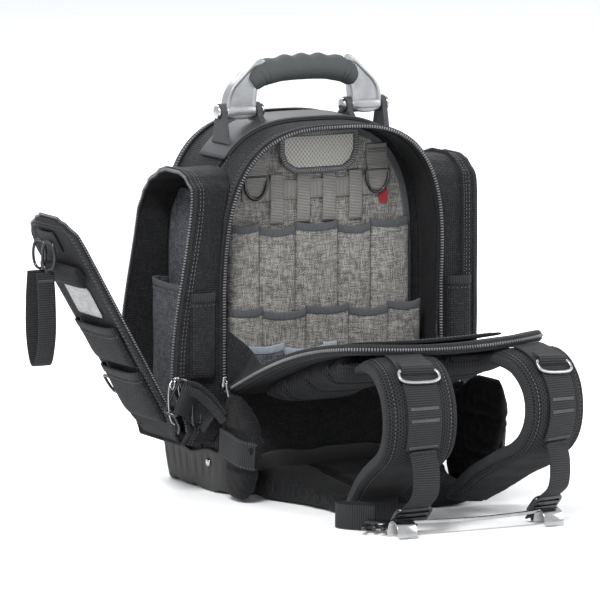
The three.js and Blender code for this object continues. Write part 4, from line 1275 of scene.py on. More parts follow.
@dataclass
class Tray:
    """Moulded base: wavy upper edge, scalloped foot, shallow ribs and a rivet on each side."""

    wall: float = 3.5
    clearance: float = 0.5
    floor: float = 4.0
    middle_y: float = -14.5
    rim_wave: float = 44.0
    foot_wave: float = 31.0
    rib_pitch: float = 7.5
    rivet_y: float = -58.0
    rivet_z: float = 31.0
    steps: int = 420

    def ring(self, z: Array, inset: float) -> Array:
        """Base outline at the heights z (one for each point), drawn in by an inset."""
        low = np.minimum(z, BAG.tray_height)
        front = BAG.front_edge(low) - self.clearance - self.wall + inset
        rear = BAG.rear_edge(low) + self.clearance + self.wall - inset
        half = BAG.half - BAG.base_taper(z) + self.clearance + self.wall - inset
        radius = BAG.corner + self.clearance + self.wall - inset
        side = np.linspace(0, 4, self.steps, endpoint=False)
        quarter = side.astype(int)
        t = side - quarter
        turn = quarter * math.pi / 2 + math.pi
        swing = np.clip((t - 0.36) / 0.28, 0, 1) * math.pi / 2
        cx = np.select([quarter == 0, quarter == 1, quarter == 2, quarter == 3],
                       [-half + radius, half - radius, half - radius, -half + radius])
        cy = np.select([quarter == 0, quarter == 1, quarter == 2, quarter == 3],
                       [front + radius, front + radius, rear - radius, rear - radius])
        angle = turn + swing
        x = cx + radius * np.cos(angle)
        y = cy + radius * np.sin(angle)
        before = np.clip((0.36 - t) / 0.36, 0, 1)
        after = np.clip((t - 0.64) / 0.36, 0, 1)
        middle = (front + rear) / 2
        even = quarter % 2 == 0
        x = np.where(even, x * (1 - after), x * (1 - before))
        y = np.where(even, y * (1 - before) + middle * before, y * (1 - after) + middle * after)
        return np.stack([x, y, z], -1)

    def build(self) -> None:
        """Builds the tray: rows run from the room's floor over the rim and down to the underside."""
        base = self.ring(np.full(self.steps, 10.0), 0)
        around = np.arctan2(base[:, 1] - self.middle_y, base[:, 0])
        along = np.concatenate([[0], np.cumsum(np.linalg.norm(np.diff(base[:, :2], axis=0), axis=1))])
        wave = 0.5 + 0.5 * np.cos(along / self.rim_wave * math.pi)
        rim = BAG.tray_height - 7.5 * wave * np.clip(np.abs(np.cos(around)) * 2.2 - 0.4, 0, 1) - 1.0
        foot = 2.6 * (0.5 + 0.5 * np.cos(along / self.foot_wave * math.pi)) ** 3
        rows = []
        centre = np.array([0.0, self.middle_y])
        for share in (0.02, 0.5, 0.96):
            ring = self.ring(np.full(self.steps, self.floor), self.wall)
            ring[:, :2] = centre + (ring[:, :2] - centre) * share
            rows.append(ring)
        for z in np.linspace(self.floor + 1.5, 34, 5):
            rows.append(self.ring(np.full(self.steps, z), self.wall))
        for drop, inset in ((2.5, self.wall), (0.6, 3.0), (0.0, 2.2), (0.0, 1.2), (0.7, 0.3), (2.0, 0.0)):
            rows.append(self.ring(rim - drop, inset))
        ridged = np.cos(along / self.rib_pitch * math.pi) > 0.1
        rib = 0.9 * ridged * np.clip(np.abs(np.cos(around)) * 3 - 1, 0, 1)
        for share in np.linspace(0.96, 0.30, 12):
            z = foot + (rim - 2.0 - foot) * share
            belly = np.sin(math.pi * np.clip((share - 0.3) / 0.66, 0, 1)) ** 0.5
            ring = self.ring(z, 0.0)
            ring[:, :2] -= unit(ring[:, :2] - centre) * (rib * belly)[:, None]
            rows.append(ring)
        for share, inset in ((0.24, 0.2), (0.16, 0), (0.10, 0), (0.04, 0.6), (0.0, 2.0)):
            rows.append(self.ring(foot * (1 - share) + share * 30, inset))
        for share in (0.9, 0.5, 0.02):
            ring = self.ring(foot * share * 0.4, 3.0)
            ring[:, :2] = centre + (ring[:, :2] - centre) * share
            rows.append(ring)
        tray = tidy_normals(grid("moulded_base", np.array(rows), wrap=True, caps=True))
        add_piece(tray, TRAY_PLASTIC, "base_tray")
        self.rivets()

    def rivets(self) -> None:
        """One domed rivet on each side of the tray."""
        reach = BAG.half - float(BAG.base_taper(np.array(self.rivet_z))) + 3.6
        heads = []
        for side in (-1, 1):
            start = vec(side * reach, self.rivet_y, self.rivet_z)
            line = start + np.outer(np.array([0, 1.2, 2.0, 2.5]), vec(side, 0, 0))
            heads.append(carried("rivet", line, oval(9, 9, 20), vec(0, 1, 0),
                                 scale=np.array([1, 0.97, 0.75, 0.3])))
        add_piece(joined("base_rivets", heads), STEEL)


@dataclass
class Handle:
    """Saddle over the arch, cast arms on pins and the finger-grooved grip."""

    pivot_x: float = 73.0
    pivot_y: float = -14.0
    pivot_z: float = 390.0
    grip_height: float = 434.0
    grip_half: float = 47.0
    grip_radius: float = 14.4

    def saddle(self) -> bpy.types.Object:
        """Ribbed plate that follows the arch, its ends flared: section 7 mm thick, 56 mm wide."""
        x = np.linspace(-104, 104, 90)
        z = arch_height(x)
        path = np.stack([x, np.full(90, self.pivot_y), z + 2.3], 1)
        across = np.linspace(-1, 1, 27)
        rib = 0.55 * np.exp(-((np.abs(across) - 0.72) / 0.07) ** 2)
        top = np.stack([across * 28, 1.9 + rib - 1.4 * np.abs(across) ** 8], 1)
        low = np.stack([across[::-1] * 28, np.full(27, -1.7)], 1)
        section = np.broadcast_to(np.vstack([low, top]), (90, 54, 2)).copy()
        wide = np.broadcast_to(vec(0, 1, 0), path.shape)
        return carried("saddle_plate", path, section, -wide)

    def lugs(self) -> bpy.types.Object:
        """Two rounded cheeks beside each arm's barrel."""
        made = []
        for side in (-1, 1):
            for reach in (-1, 1):
                near = side * self.pivot_x + reach * 17.5
                far = near + reach * 6
                foot = float(arch_height(np.array(near))) + 1.0
                turn = np.linspace(math.pi, 0, 13)
                rim = np.stack([self.pivot_y + 9 * np.cos(turn), self.pivot_z + 9 * np.sin(turn)], 1)
                outline = np.vstack([[self.pivot_y - 20, foot], [self.pivot_y - 15, foot + 5],
                                     [self.pivot_y - 9.6, self.pivot_z - 4], rim,
                                     [self.pivot_y + 9.6, self.pivot_z - 4], [self.pivot_y + 15, foot + 5],
                                     [self.pivot_y + 20, foot]])
                faces = np.array([np.insert(outline, 0, x, axis=1) for x in (near, far)])
                cheek = tidy_normals(grid("cheek", faces, wrap=True, caps=True, smooth=False))
                made.append(apply_modifiers(rounded(cheek, 1.1, 3, 30)))
        return joined("cheeks", made)

    def arm(self, side: int) -> bpy.types.Object:
        """Cast arm: a bent plate with a recessed face each way, and a thick round barrel."""
        outline = curve([[-17, -3], [-17.5, 6], [-15.5, 17], [-10, 27], [-1, 36], [8, 45], [17, 52.5],
                         [24, 54], [28.5, 50.5], [28, 42], [24, 33], [19.5, 24], [17.5, 14], [17, 4],
                         [16.5, -3], [9, -7.2], [0, -8.2], [-9, -7.2]], 84, closed=True)
        middle = np.array([3.0, 20.0])
        layers = [(5.1, 0.66), (5.15, 0.74), (6.9, 0.80), (7.0, 0.86), (7.0, 0.955), (6.3, 0.99), (5.2, 1.0)]
        layers = layers + [(-y, share) for y, share in layers[::-1]]
        rows = []
        for y, share in layers:
            scaled = middle + (outline - middle) * share
            rows.append(np.stack([side * (self.pivot_x - scaled[:, 0]), np.full(84, self.pivot_y + y),
                                  self.pivot_z + scaled[:, 1]], 1))
        body = tidy_normals(grid("arm", np.array(rows), wrap=True, caps=True))
        line = vec(side * self.pivot_x, self.pivot_y, self.pivot_z) + np.outer(
            np.array([-17, -16.3, -15.5, -6, 6, 15.5, 16.3, 17]), vec(1, 0, 0))
        barrel = carried("barrel", line, oval(16, 16, 32), vec(0, 1, 0),
                         scale=np.array([0.86, 0.96, 1, 1, 1, 1, 0.96, 0.86]))
        return joined(f"cast_arm_{'left' if side < 0 else 'right'}", [body, barrel])

    def grip(self) -> bpy.types.Object:
        """Rubber grip: radius swells between four finger hollows underneath, with fine rings at the ends."""
        span = np.linspace(-1.27, 1.27, 150)
        lift = np.interp(np.abs(span), [0, 0.2, 0.6, 1, 1.15, 1.28], [4, 4, 3, -1, -6, -13])
        lift = np.convolve(np.pad(lift, 6, mode="edge"), np.ones(13) / 13, mode="valid")
        path = np.stack([span * self.grip_half, np.full(150, self.pivot_y), self.grip_height - 5 + lift], 1)
        turn = np.linspace(0, 2 * math.pi, 40, endpoint=False)
        size = np.interp(np.abs(span), [0, 0.9, 1.05, 1.15, 1.22, 1.28], [1, 0.985, 0.95, 0.84, 0.74, 0.62])
        ridged = (np.cos(span / 0.06 * math.pi) > 0.2) * (np.abs(np.abs(span) - 1.06) < 0.12)
        size = size * (1 - 0.05 * ridged)
        under = np.clip(-np.sin(turn), 0, 1) ** 1.2
        groove = 2.4 * (0.5 + 0.5 * np.cos((span + 0.205) / 0.41 * 2 * math.pi)) * (np.abs(span) < 0.84)
        top_flat = 0.9 * np.clip(np.sin(turn), 0, 1) ** 4
        radius = self.grip_radius * size[:, None] - groove[:, None] * under - top_flat
        section = np.stack([radius * np.cos(turn) * 1.12, radius * np.sin(turn)], -1)
        wide = np.broadcast_to(vec(0, -1, 0), path.shape)
        return carried("finger_grip", path, section, wide)

    def build(self) -> None:
        """Builds and dresses the handle."""
        saddle = joined("saddle", [self.saddle(), self.lugs()])
        add_piece(saddle, SADDLE_PLASTIC, "handle_saddle")
        for side in (-1, 1):
            name = "left" if side < 0 else "right"
            add_piece(self.arm(side), CAST, f"handle_arm_{name}", body=HANDLE)
            STEEL.dress(FRAME["nodes"][f"handle_pin_{name}"])
            for reach in (-1, 1):
                start = side * self.pivot_x + reach * 24
                line = vec(start, self.pivot_y, self.pivot_z) + np.outer(np.array([0, 0.8, 2.4, 3.2]),
                                                                         vec(reach, 0, 0))
                collar = carried(f"pin_collar_{name}_{'in' if reach * side < 0 else 'out'}", line,
                                 oval(15, 15, 28), vec(0, 1, 0), scale=np.array([1, 1, 0.94, 0.72]))
                add_piece(collar, STEEL)
        add_piece(self.grip(), GRIP, "handle_grip", body=HANDLE)
        x = np.linspace(-101, 101, 120)
        for y, name in ((-43.6, "saddle_strap_front"), (15.4, "saddle_strap_rear")):
            line = np.stack([x, np.full(120, y), arch_height(x) + 0.9], 1)
            add_piece(carried(name, line, rounded_box(5.0, 1.4, 0.6, 3), vec(0, 1, 0), blunt=1), BAND)


# Cloth parts that several sub-assemblies use


@dataclass(frozen=True)
class Plane:
    """A flat place to sew things on: an origin and three directions, in the maker's millimetres."""

    origin: Array
    across: Array
    up: Array
    out: Array

    def at(self, a: Array, b: Array, d: Array | float = 0.0) -> Array:
        """Point at a across, b up and d out."""
        a, b, d = np.broadcast_arrays(a, b, d)
        return self.origin + a[..., None] * self.across + b[..., None] * self.up + d[..., None] * self.out


def lay_cloth(piece: bpy.types.Object, across: Array, up: Array) -> bpy.types.Object:
    """Gives a piece a flat UV map in metres: u = p . across, v = p . up."""
    mesh = piece.data
    layer = mesh.uv_layers.get("cloth") or mesh.uv_layers.new(name="cloth")
    co = np.empty(len(mesh.vertices) * 3, np.float32)
    mesh.vertices.foreach_get("co", co)
    co = co.reshape(-1, 3)
    corner = np.empty(len(mesh.loops), np.int32)
    mesh.loops.foreach_get("vertex_index", corner)
    flat = np.stack([co @ np.asarray(across, float), co @ np.asarray(up, float)], 1)
    layer.data.foreach_set("uv", flat[corner].astype(np.float32).ravel())
    return piece


def domed(name: str, outline: Array, plane: Plane, profile: Sequence[tuple[float, float]],
          soft: float = 0.0, seed: float = 1.0,
          centre: tuple[float, float] | None = None) -> bpy.types.Object:
    """Closed plate or cushion: ring k is the outline drawn to its centre by share k, at depth k.

    Args:
        name: piece name.
        outline: (n, 2) closed outline in the plane.
        plane: where it lies.
        profile: (share, depth) of each ring, from the back face's middle over the edge to the front's.
        soft: waviness of the front in millimetres.
        seed: of the waviness.
        centre: point the rings close on.

    Returns:
        The closed piece, its UV map laid flat.
    """
    middle = np.asarray(centre if centre is not None else (outline.max(0) + outline.min(0)) / 2)
    share, depth = np.array(profile, float).T
    rings = middle + (outline - middle) * share[:, None, None]
    points = plane.at(rings[..., 0], rings[..., 1], depth[:, None] + 0 * rings[..., 0])
    if soft:
        front = (depth > depth.max() * 0.5)[:, None]
        points = points + plane.out * (soft * ripple(points, 45, seed) * front)[..., None]
    piece = tidy_normals(grid(name, points, wrap=True, caps=True))
    return lay_cloth(piece, plane.across, plane.up)


def flat_profile(thickness: float, full: float = 0.0, rings: int = 8) -> list[tuple[float, float]]:
    """Profile of a plate with soft edges: back face, round edge, front face that swells by ``full``."""
    back = [(0.03, 0.0), (0.6, 0.0), (0.985, 0.05)]
    edge = [(1.0, thickness * 0.3), (1.0, thickness * 0.7), (0.985, thickness * 0.97)]
    share = np.linspace(0.95, 0.03, rings)
    front = [(float(s), thickness + full * float(1 - s**3)) for s in share]
    return back + edge + front


@dataclass
class Pouch:
    """A sewn pocket: cloth pinned to a plane at its sides and foot, with a bound mouth and stitched seams."""

    name: str
    plane: Plane
    half: float
    height: float
    depth: float
    cloth: Finish
    binding: Finish
    thread: Finish
    power: float = 3.0
    wall: float = 1.5
    sag: float = 2.0
    seed: float = 1.0
    foot: float = 0.10
    binding_width: float = 7.0
    crease: float = 0.6
    outline: Callable[[Array], Array] | None = None

    def surface(self, a: Array, b: Array, lift: float = 0.0) -> Array:
        """Point at share a across and b up: depth (1 - |a|^p)^(1/p), drawn in at the foot."""
        swell = (1 - np.abs(a) ** self.power) ** (1 / self.power)
        foot = np.sqrt(np.clip(1 - (1 - np.clip(b / self.foot, 0, 1)) ** 2, 0, 1))
        narrow = 1.0 if self.outline is None else self.outline(b)
        dip = self.sag * np.cos(a * math.pi / 2) * np.clip(b, 0, 1) ** 4
        room = self.depth - self.wall / 2
        depth = self.wall / 2 + (room - self.wall / 2) * swell * foot + lift
        flat = self.plane.at(a * self.half * narrow, b * self.height - dip, depth)
        fold = self.crease * ripple(flat * [1, 1, 0.45], 24, self.seed) * swell * foot
        return flat - self.plane.out * np.maximum(fold, 0)[..., None]

    def build(self, *nodes: str) -> None:
        """Builds cloth, binding and stitches.

        Args:
            nodes: CAD nodes the cloth stands for.
        """
        a = np.sin(np.linspace(-1, 1, max(18, int(self.half / 1.4))) * math.pi / 2)
        b = np.concatenate([np.linspace(0, self.foot, 7)[:-1],
                            np.linspace(self.foot, 1, max(10, int(self.height / 5)))])
        gb, ga = np.meshgrid(b, a, indexing="ij")
        cloth = grid(f"{self.name}_cloth", self.surface(ga, gb))
        lay_cloth(cloth, self.plane.across, self.plane.up)
        thickened(cloth, self.wall, 0.0)
        apply_modifiers(cloth)
        tidy_normals(cloth)
        add_piece(cloth, self.cloth, *nodes)
        rim = self.surface(a[1:-1], np.full(len(a) - 2, 1.0))
        low = self.surface(a[1:-1], np.full(len(a) - 2, 1.0 - 0.5 * self.binding_width / self.height))
        path = resample((rim + low) / 2, max(24, int(self.half * 2 / 3)))
        up = np.broadcast_to(self.plane.up, path.shape)
        section = rounded_box(self.binding_width, self.wall + 1.6, 1.0, 3)
        add_piece(carried(f"{self.name}_binding", path, section, up), self.binding)
        seam = self.surface(a[1:-1], np.full(len(a) - 2, 1.0 - (self.binding_width + 1.5) / self.height),
                            self.wall)
        rows = [stitches("seam", resample(seam, 60), self.plane.out, 3.6, 2.5, 0.36)]
        add_piece(joined(f"{self.name}_stitches", rows), self.thread)


def strip(name: str, points: Sequence[Sequence[float]], out: Array, width: float, finish: Finish,
          *nodes: str, thickness: float = 1.6, steps: int = 60, body: str = ROOT, closed: bool = False,
          edges: bool = False) -> bpy.types.Object:
    """A flat woven band along a curve.

    Args:
        name: piece name.
        points: control points, (n, 3).
        out: direction that the band's face looks, (3,).
        width: of the band.
        finish: of the band.
        nodes: CAD nodes it stands for.
        thickness: of the band.
        steps: samples along it.
        body: CAD body it rides on.
        closed: whether it is a loop.
        edges: whether stitches run along both edges.

    Returns:
        The piece.
    """
    path = curve(points, steps, closed)
    tangent = unit(np.gradient(path, axis=0))
    wide = unit(np.cross(tangent, np.broadcast_to(np.asarray(out, float), path.shape)))
    band = carried(name, path, rounded_box(width, thickness, min(thickness * 0.45, 0.8), 3), wide, closed)
    piece = add_piece(band, finish, *nodes, body=body)
    if edges:
        normal = np.cross(wide, tangent)
        rows = [stitches("seam", path + wide * (k * (width / 2 - 2.2)) + normal * thickness / 2, normal,
                         3.6, 2.4, 0.35)
                for k in (-1, 1)]
        add_piece(joined(f"{name}_stitches", rows), THREAD, body=body)
    return piece


def bar_tack(name: str, centre: Array, along: Array, out: Array, length: float, rows: int = 3) -> None:
    """Dense zigzag tack across a band: rows of short stitches side by side."""
    cross = unit(np.cross(out, along))
    made = []
    for k in np.linspace(-1.2, 1.2, rows):
        line = centre + cross * k + np.outer(np.linspace(-0.5, 0.5, 8) * length, unit(along))
        made.append(stitches("tack", line, out, 1.5, 1.9, 0.5))
    add_piece(joined(name, made), THREAD)


def dee(name: str, centre: Array, across: Array, up: Array, half: float, drop: float, wire: float,
        finish: Finish, *nodes: str) -> bpy.types.Object:
    """A D-ring: straight bar on top and a half oval below."""
    turn = np.linspace(0, math.pi, 26)
    bow = np.stack([half * np.cos(turn), -drop * np.sin(turn) ** 0.8], 1)
    line = resample(np.vstack([bow, [[-half, 0.0], [-half * 0.9, 1.2], [half * 0.9, 1.2], [half, 0.0]]]),
                    56, True)
    path = centre + line[:, :1] * unit(across) + line[:, 1:] * unit(up)
    ring = carried(name, path, oval(2 * wire, 2 * wire, 12), np.cross(across, up), closed=True)
    return add_piece(ring, finish, *nodes)


def slider(name: str, place: Array, along: Array, out: Array, pull: Array, length: float = 20.0,
           finish: Finish = GLOSS) -> None:
    """A zip slider: wedge body with a bail, and a pull that hangs from it.

    Args:
        name: piece name.
        place: its middle, on the chain.
        along: direction of the chain.
        out: direction it faces.
        pull: direction the pull hangs in.
        length: of the pull.
        finish: its finish.
    """
    side = unit(np.cross(out, along))
    line = place + out * 1.2 + np.outer(np.linspace(-6, 6, 9), unit(along))
    wide = np.array([0.6, 0.95, 1, 0.95, 0.82, 0.75, 0.72, 0.7, 0.45])
    body = carried("body", line, rounded_box(8.6, 3.4, 1.2, 3), side,
                   scale=np.stack([wide, 0.4 + wide * 0.6], 1))
    hoop = curve([place + out * rise + along * ahead
                  for ahead, rise in ((-3, 2.5), (-1.5, 5.6), (1.5, 5.6), (3, 2.5))], 16)
    bail = carried("bail", hoop, oval(1.6, 1.2, 8), side)
    turn = unit(pull)
    top = place + out * 5.0
    tab = np.array([top + turn * k for k in np.linspace(0, length, 12)])
    width = np.interp(np.linspace(0, 1, 12), [0, 0.1, 0.3, 0.85, 0.97, 1], [0.5, 0.75, 1, 1.15, 0.9, 0.5])
    tag = carried("tab", tab, rounded_box(5.0, 1.7, 0.7, 3), np.cross(turn, out),
                  scale=np.stack([width, np.ones(12)], 1))
    add_piece(joined(name, [body, bail, tag]), finish)


# Side pockets


@dataclass
class SidePockets:
    """Both side pockets: gussets, lining, the inner pocket, the closed right cover and the pen sleeves."""

    bottom: float = 52.0
    top: float = 336.0
    front: float = -82.0
    rear: float = 46.0
    wall: float = 3.0

    def front_at(self, z: Array) -> Array:
        """Y of the gusset's front by height."""
        b, f = self.bottom, self.front
        return eased([(b, f + 16), (b + 20, f), (300, f), (318, f + 2), (331, f + 18), (self.top, f + 34)], z)

    def rear_at(self, z: Array) -> Array:
        """Y of the gusset's rear by height."""
        b, r = self.bottom, self.rear
        return eased([(b, r - 12), (b + 20, r), (285, r), (305, r - 8), (318, r - 19), (331, r - 42),
                      (self.top, r - 60)], z)

    def left_out(self, z: Array) -> Array:
        """How far the open left pocket stands out."""
        return eased([(52, 165), (66, 165), (125, 182), (self.top, 157)], z)

    def right_out(self, z: Array) -> Array:
        """How far the right pocket stands out."""
        return eased([(52, 162), (82, 170), (self.top, 170)], z)

    def outline(self, count: int = 190) -> tuple[Array, Array]:
        """Closed outline (y, z) of a gusset and its outward directions."""
        z = np.linspace(self.bottom, self.top, 120)
        up = np.stack([self.front_at(z), z], 1)
        down = np.stack([self.rear_at(z), z], 1)[::-1]
        path = resample(np.vstack([up, down, up[:1]]), count, True)
        smooth = (np.roll(path, 1, 0) + 2 * path + np.roll(path, -1, 0)) / 4
        along = unit(np.roll(smooth, -1, 0) - np.roll(smooth, 1, 0))
        return smooth, np.stack([-along[:, 1], along[:, 0]], 1)

    def gusset(self, name: str, side: int, reach: Callable[[Array], Array], seed: float) -> bpy.types.Object:
        """The band round a pocket, from the body out to its mouth, 3 mm thick.

        Args:
            name: piece name.
            side: -1 left, 1 right.
            reach: outer X by height.
            seed: of the waviness.

        Returns:
            The closed band.
        """
        path, out = self.outline()
        near = BAG.body_half(path[:, 1]) + 0.3
        far = reach(path[:, 1])
        share = np.concatenate([np.linspace(0, 0.96, 16), [0.99, 1.0]])
        share = np.concatenate([share, share[::-1]])
        inset = np.concatenate([np.zeros(16), [0.3, 1.0], [2.0, 2.7], np.full(16, 3.0)])
        x = side * (near[:, None] + (far - near)[:, None] * share)
        y = path[:, :1] - out[:, :1] * inset
        z = path[:, 1:] - out[:, 1:] * inset
        points = np.stack([x, y, z], -1)
        soft = (0.5 + 0.5 * ripple(points, 55, seed) + 0.35 * ripple(points, 18, seed + 1))
        sink = np.maximum(soft, 0) * 1.5 * (inset < 1) * np.sin(math.pi * np.clip(share, 0.03, 0.97))
        points[..., 1] -= out[:, :1] * sink
        points[..., 2] -= out[:, 1:] * sink
        return tidy_normals(grid(name, points, wrap=True, loop=True))

    def mouth_zip(self, name: str, side: int, reach: Callable[[Array], Array], inset: float,
                  lift: float) -> None:
        """The zip round a pocket's mouth, open at the foot."""
        path, out = self.outline(400)
        keep = path[:, 1] > 68
        start = int(np.argmax(~keep & np.roll(keep, -1)))
        order = np.roll(np.arange(400), -start)
        order = order[keep[order]]
        line, normal = path[order], out[order]
        x = side * (reach(line[:, 1]) + lift)
        points = np.stack([x, line[:, 0] - normal[:, 0] * inset, line[:, 1] - normal[:, 1] * inset], 1)
        outward = np.stack([np.zeros(len(line)), normal[:, 0], normal[:, 1]], 1)
        ZipLine(name, points, outward, tape_width=6.0, teeth_side=float(side)).build()

    def seams(self, name: str, side: int, reach: Callable[[Array], Array]) -> None:
        """Piping and two rows of stitches round the mouth edge of a gusset."""
        path, out = self.outline(300)
        normal = np.stack([np.zeros(300), out[:, 0], out[:, 1]], 1)

        def line(back: float) -> Array:
            """Line round the gusset, back from its mouth."""
            return np.stack([side * (reach(path[:, 1]) - back), path[:, 0] + out[:, 0] * 0.1,
                             path[:, 1] + out[:, 1] * 0.1], 1)

        rows = [stitches("seam", line(back), normal, closed=True) for back in (7.5, 11.0)]
        add_piece(joined(f"{name}_stitches", rows), THREAD)
        add_piece(carried(f"{name}_piping", line(1.0), oval(4.2, 2.6, 10), vec(1, 0, 0), closed=True), BAND)

    def lining(self) -> bpy.types.Object:
        """Ribbed lining on the body's side: waves down the cloth every 9 mm."""
        z = np.linspace(74, 309, 70)
        share = np.linspace(0, 1, 44)
        y0, y1 = self.front_at(z) + 5, self.rear_at(z) - 9
        y = y0[:, None] + (y1 - y0)[:, None] * share
        x = -(BAG.body_half(z) + 1.3)[:, None] - 0.35 * np.sin(y / 9 * 2 * math.pi)
        points = np.stack([x, y, np.broadcast_to(z[:, None], y.shape)], -1)
        sheet = grid("left_pocket_lining", points)
        thickened(sheet, 1.2, 0)
        return tidy_normals(apply_modifiers(sheet))

    def cover(self) -> None:
        """The closed right pocket's face: a full panel with a wide bound edge."""
        path, _ = self.outline(160)
        plane = Plane(vec(0, 0, 0), vec(0, 1, 0), vec(0, 0, 1), vec(1, 0, 0))
        profile = [(0.03, 170.4), (0.6, 170.4), (0.985, 170.4), (0.995, 171.2), (0.985, 172.6)] + [
            (float(s), 172.8 + 2.6 * (1 - float(s) ** 3)) for s in np.linspace(0.95, 0.03, 9)]
        face = domed("right_pocket_face", path, plane, profile, 0.9, 3.0, (-18.0, 194.0))
        points = vertex_points(face)
        points[:, 0] -= np.clip(8 - (points[:, 2] - self.bottom) / 30 * 8, 0, 8) * 0.9
        set_points(face, points)
        add_piece(face, SHELL, "right_cover")

    def build(self) -> None:
        """Builds both pockets."""
        add_piece(self.gusset("left_pocket_gusset", -1, self.left_out, 5), SHELL, "left_pocket")
        add_piece(self.gusset("right_pocket_gusset", 1, self.right_out, 6), SHELL, "right_pocket")
        self.seams("left_pocket", -1, self.left_out)
        self.seams("right_pocket", 1, self.right_out)
        self.mouth_zip("left_pocket_zip", -1, self.left_out, 1.6, 0.4)
        self.mouth_zip("right_pocket_zip", 1, lambda z: self.right_out(z) - 16, -0.7, 0.0)
        add_piece(self.lining(), LINING, "left_lining")
        self.cover()
        plane = Plane(vec(-130.7, -21, 76), vec(0, 1, 0), vec(0, 0, 1), vec(-1, 0, 0))
        Pouch("left_inner_pocket", plane, 55, 139, 25.5, LINING, BINDING, THREAD, power=5, seed=4,
              crease=1.2).build("left_inner_pocket")
        for side, x in ((-1, -150.0), (1, 149.0)):
            name = "left" if side < 0 else "right"
            plane = Plane(vec(x, self.front - 0.3, 123), vec(1, 0, 0), vec(0, 0, 1), vec(0, -1, 0))
            Pouch(f"pen_sleeve_{name}", plane, 13, 88, 7.6, SHELL, BAND, THREAD, power=3, wall=1.2, sag=0.5,
                  seed=7 + side, crease=0.5, binding_width=9).build(f"pen_pocket_{name}")


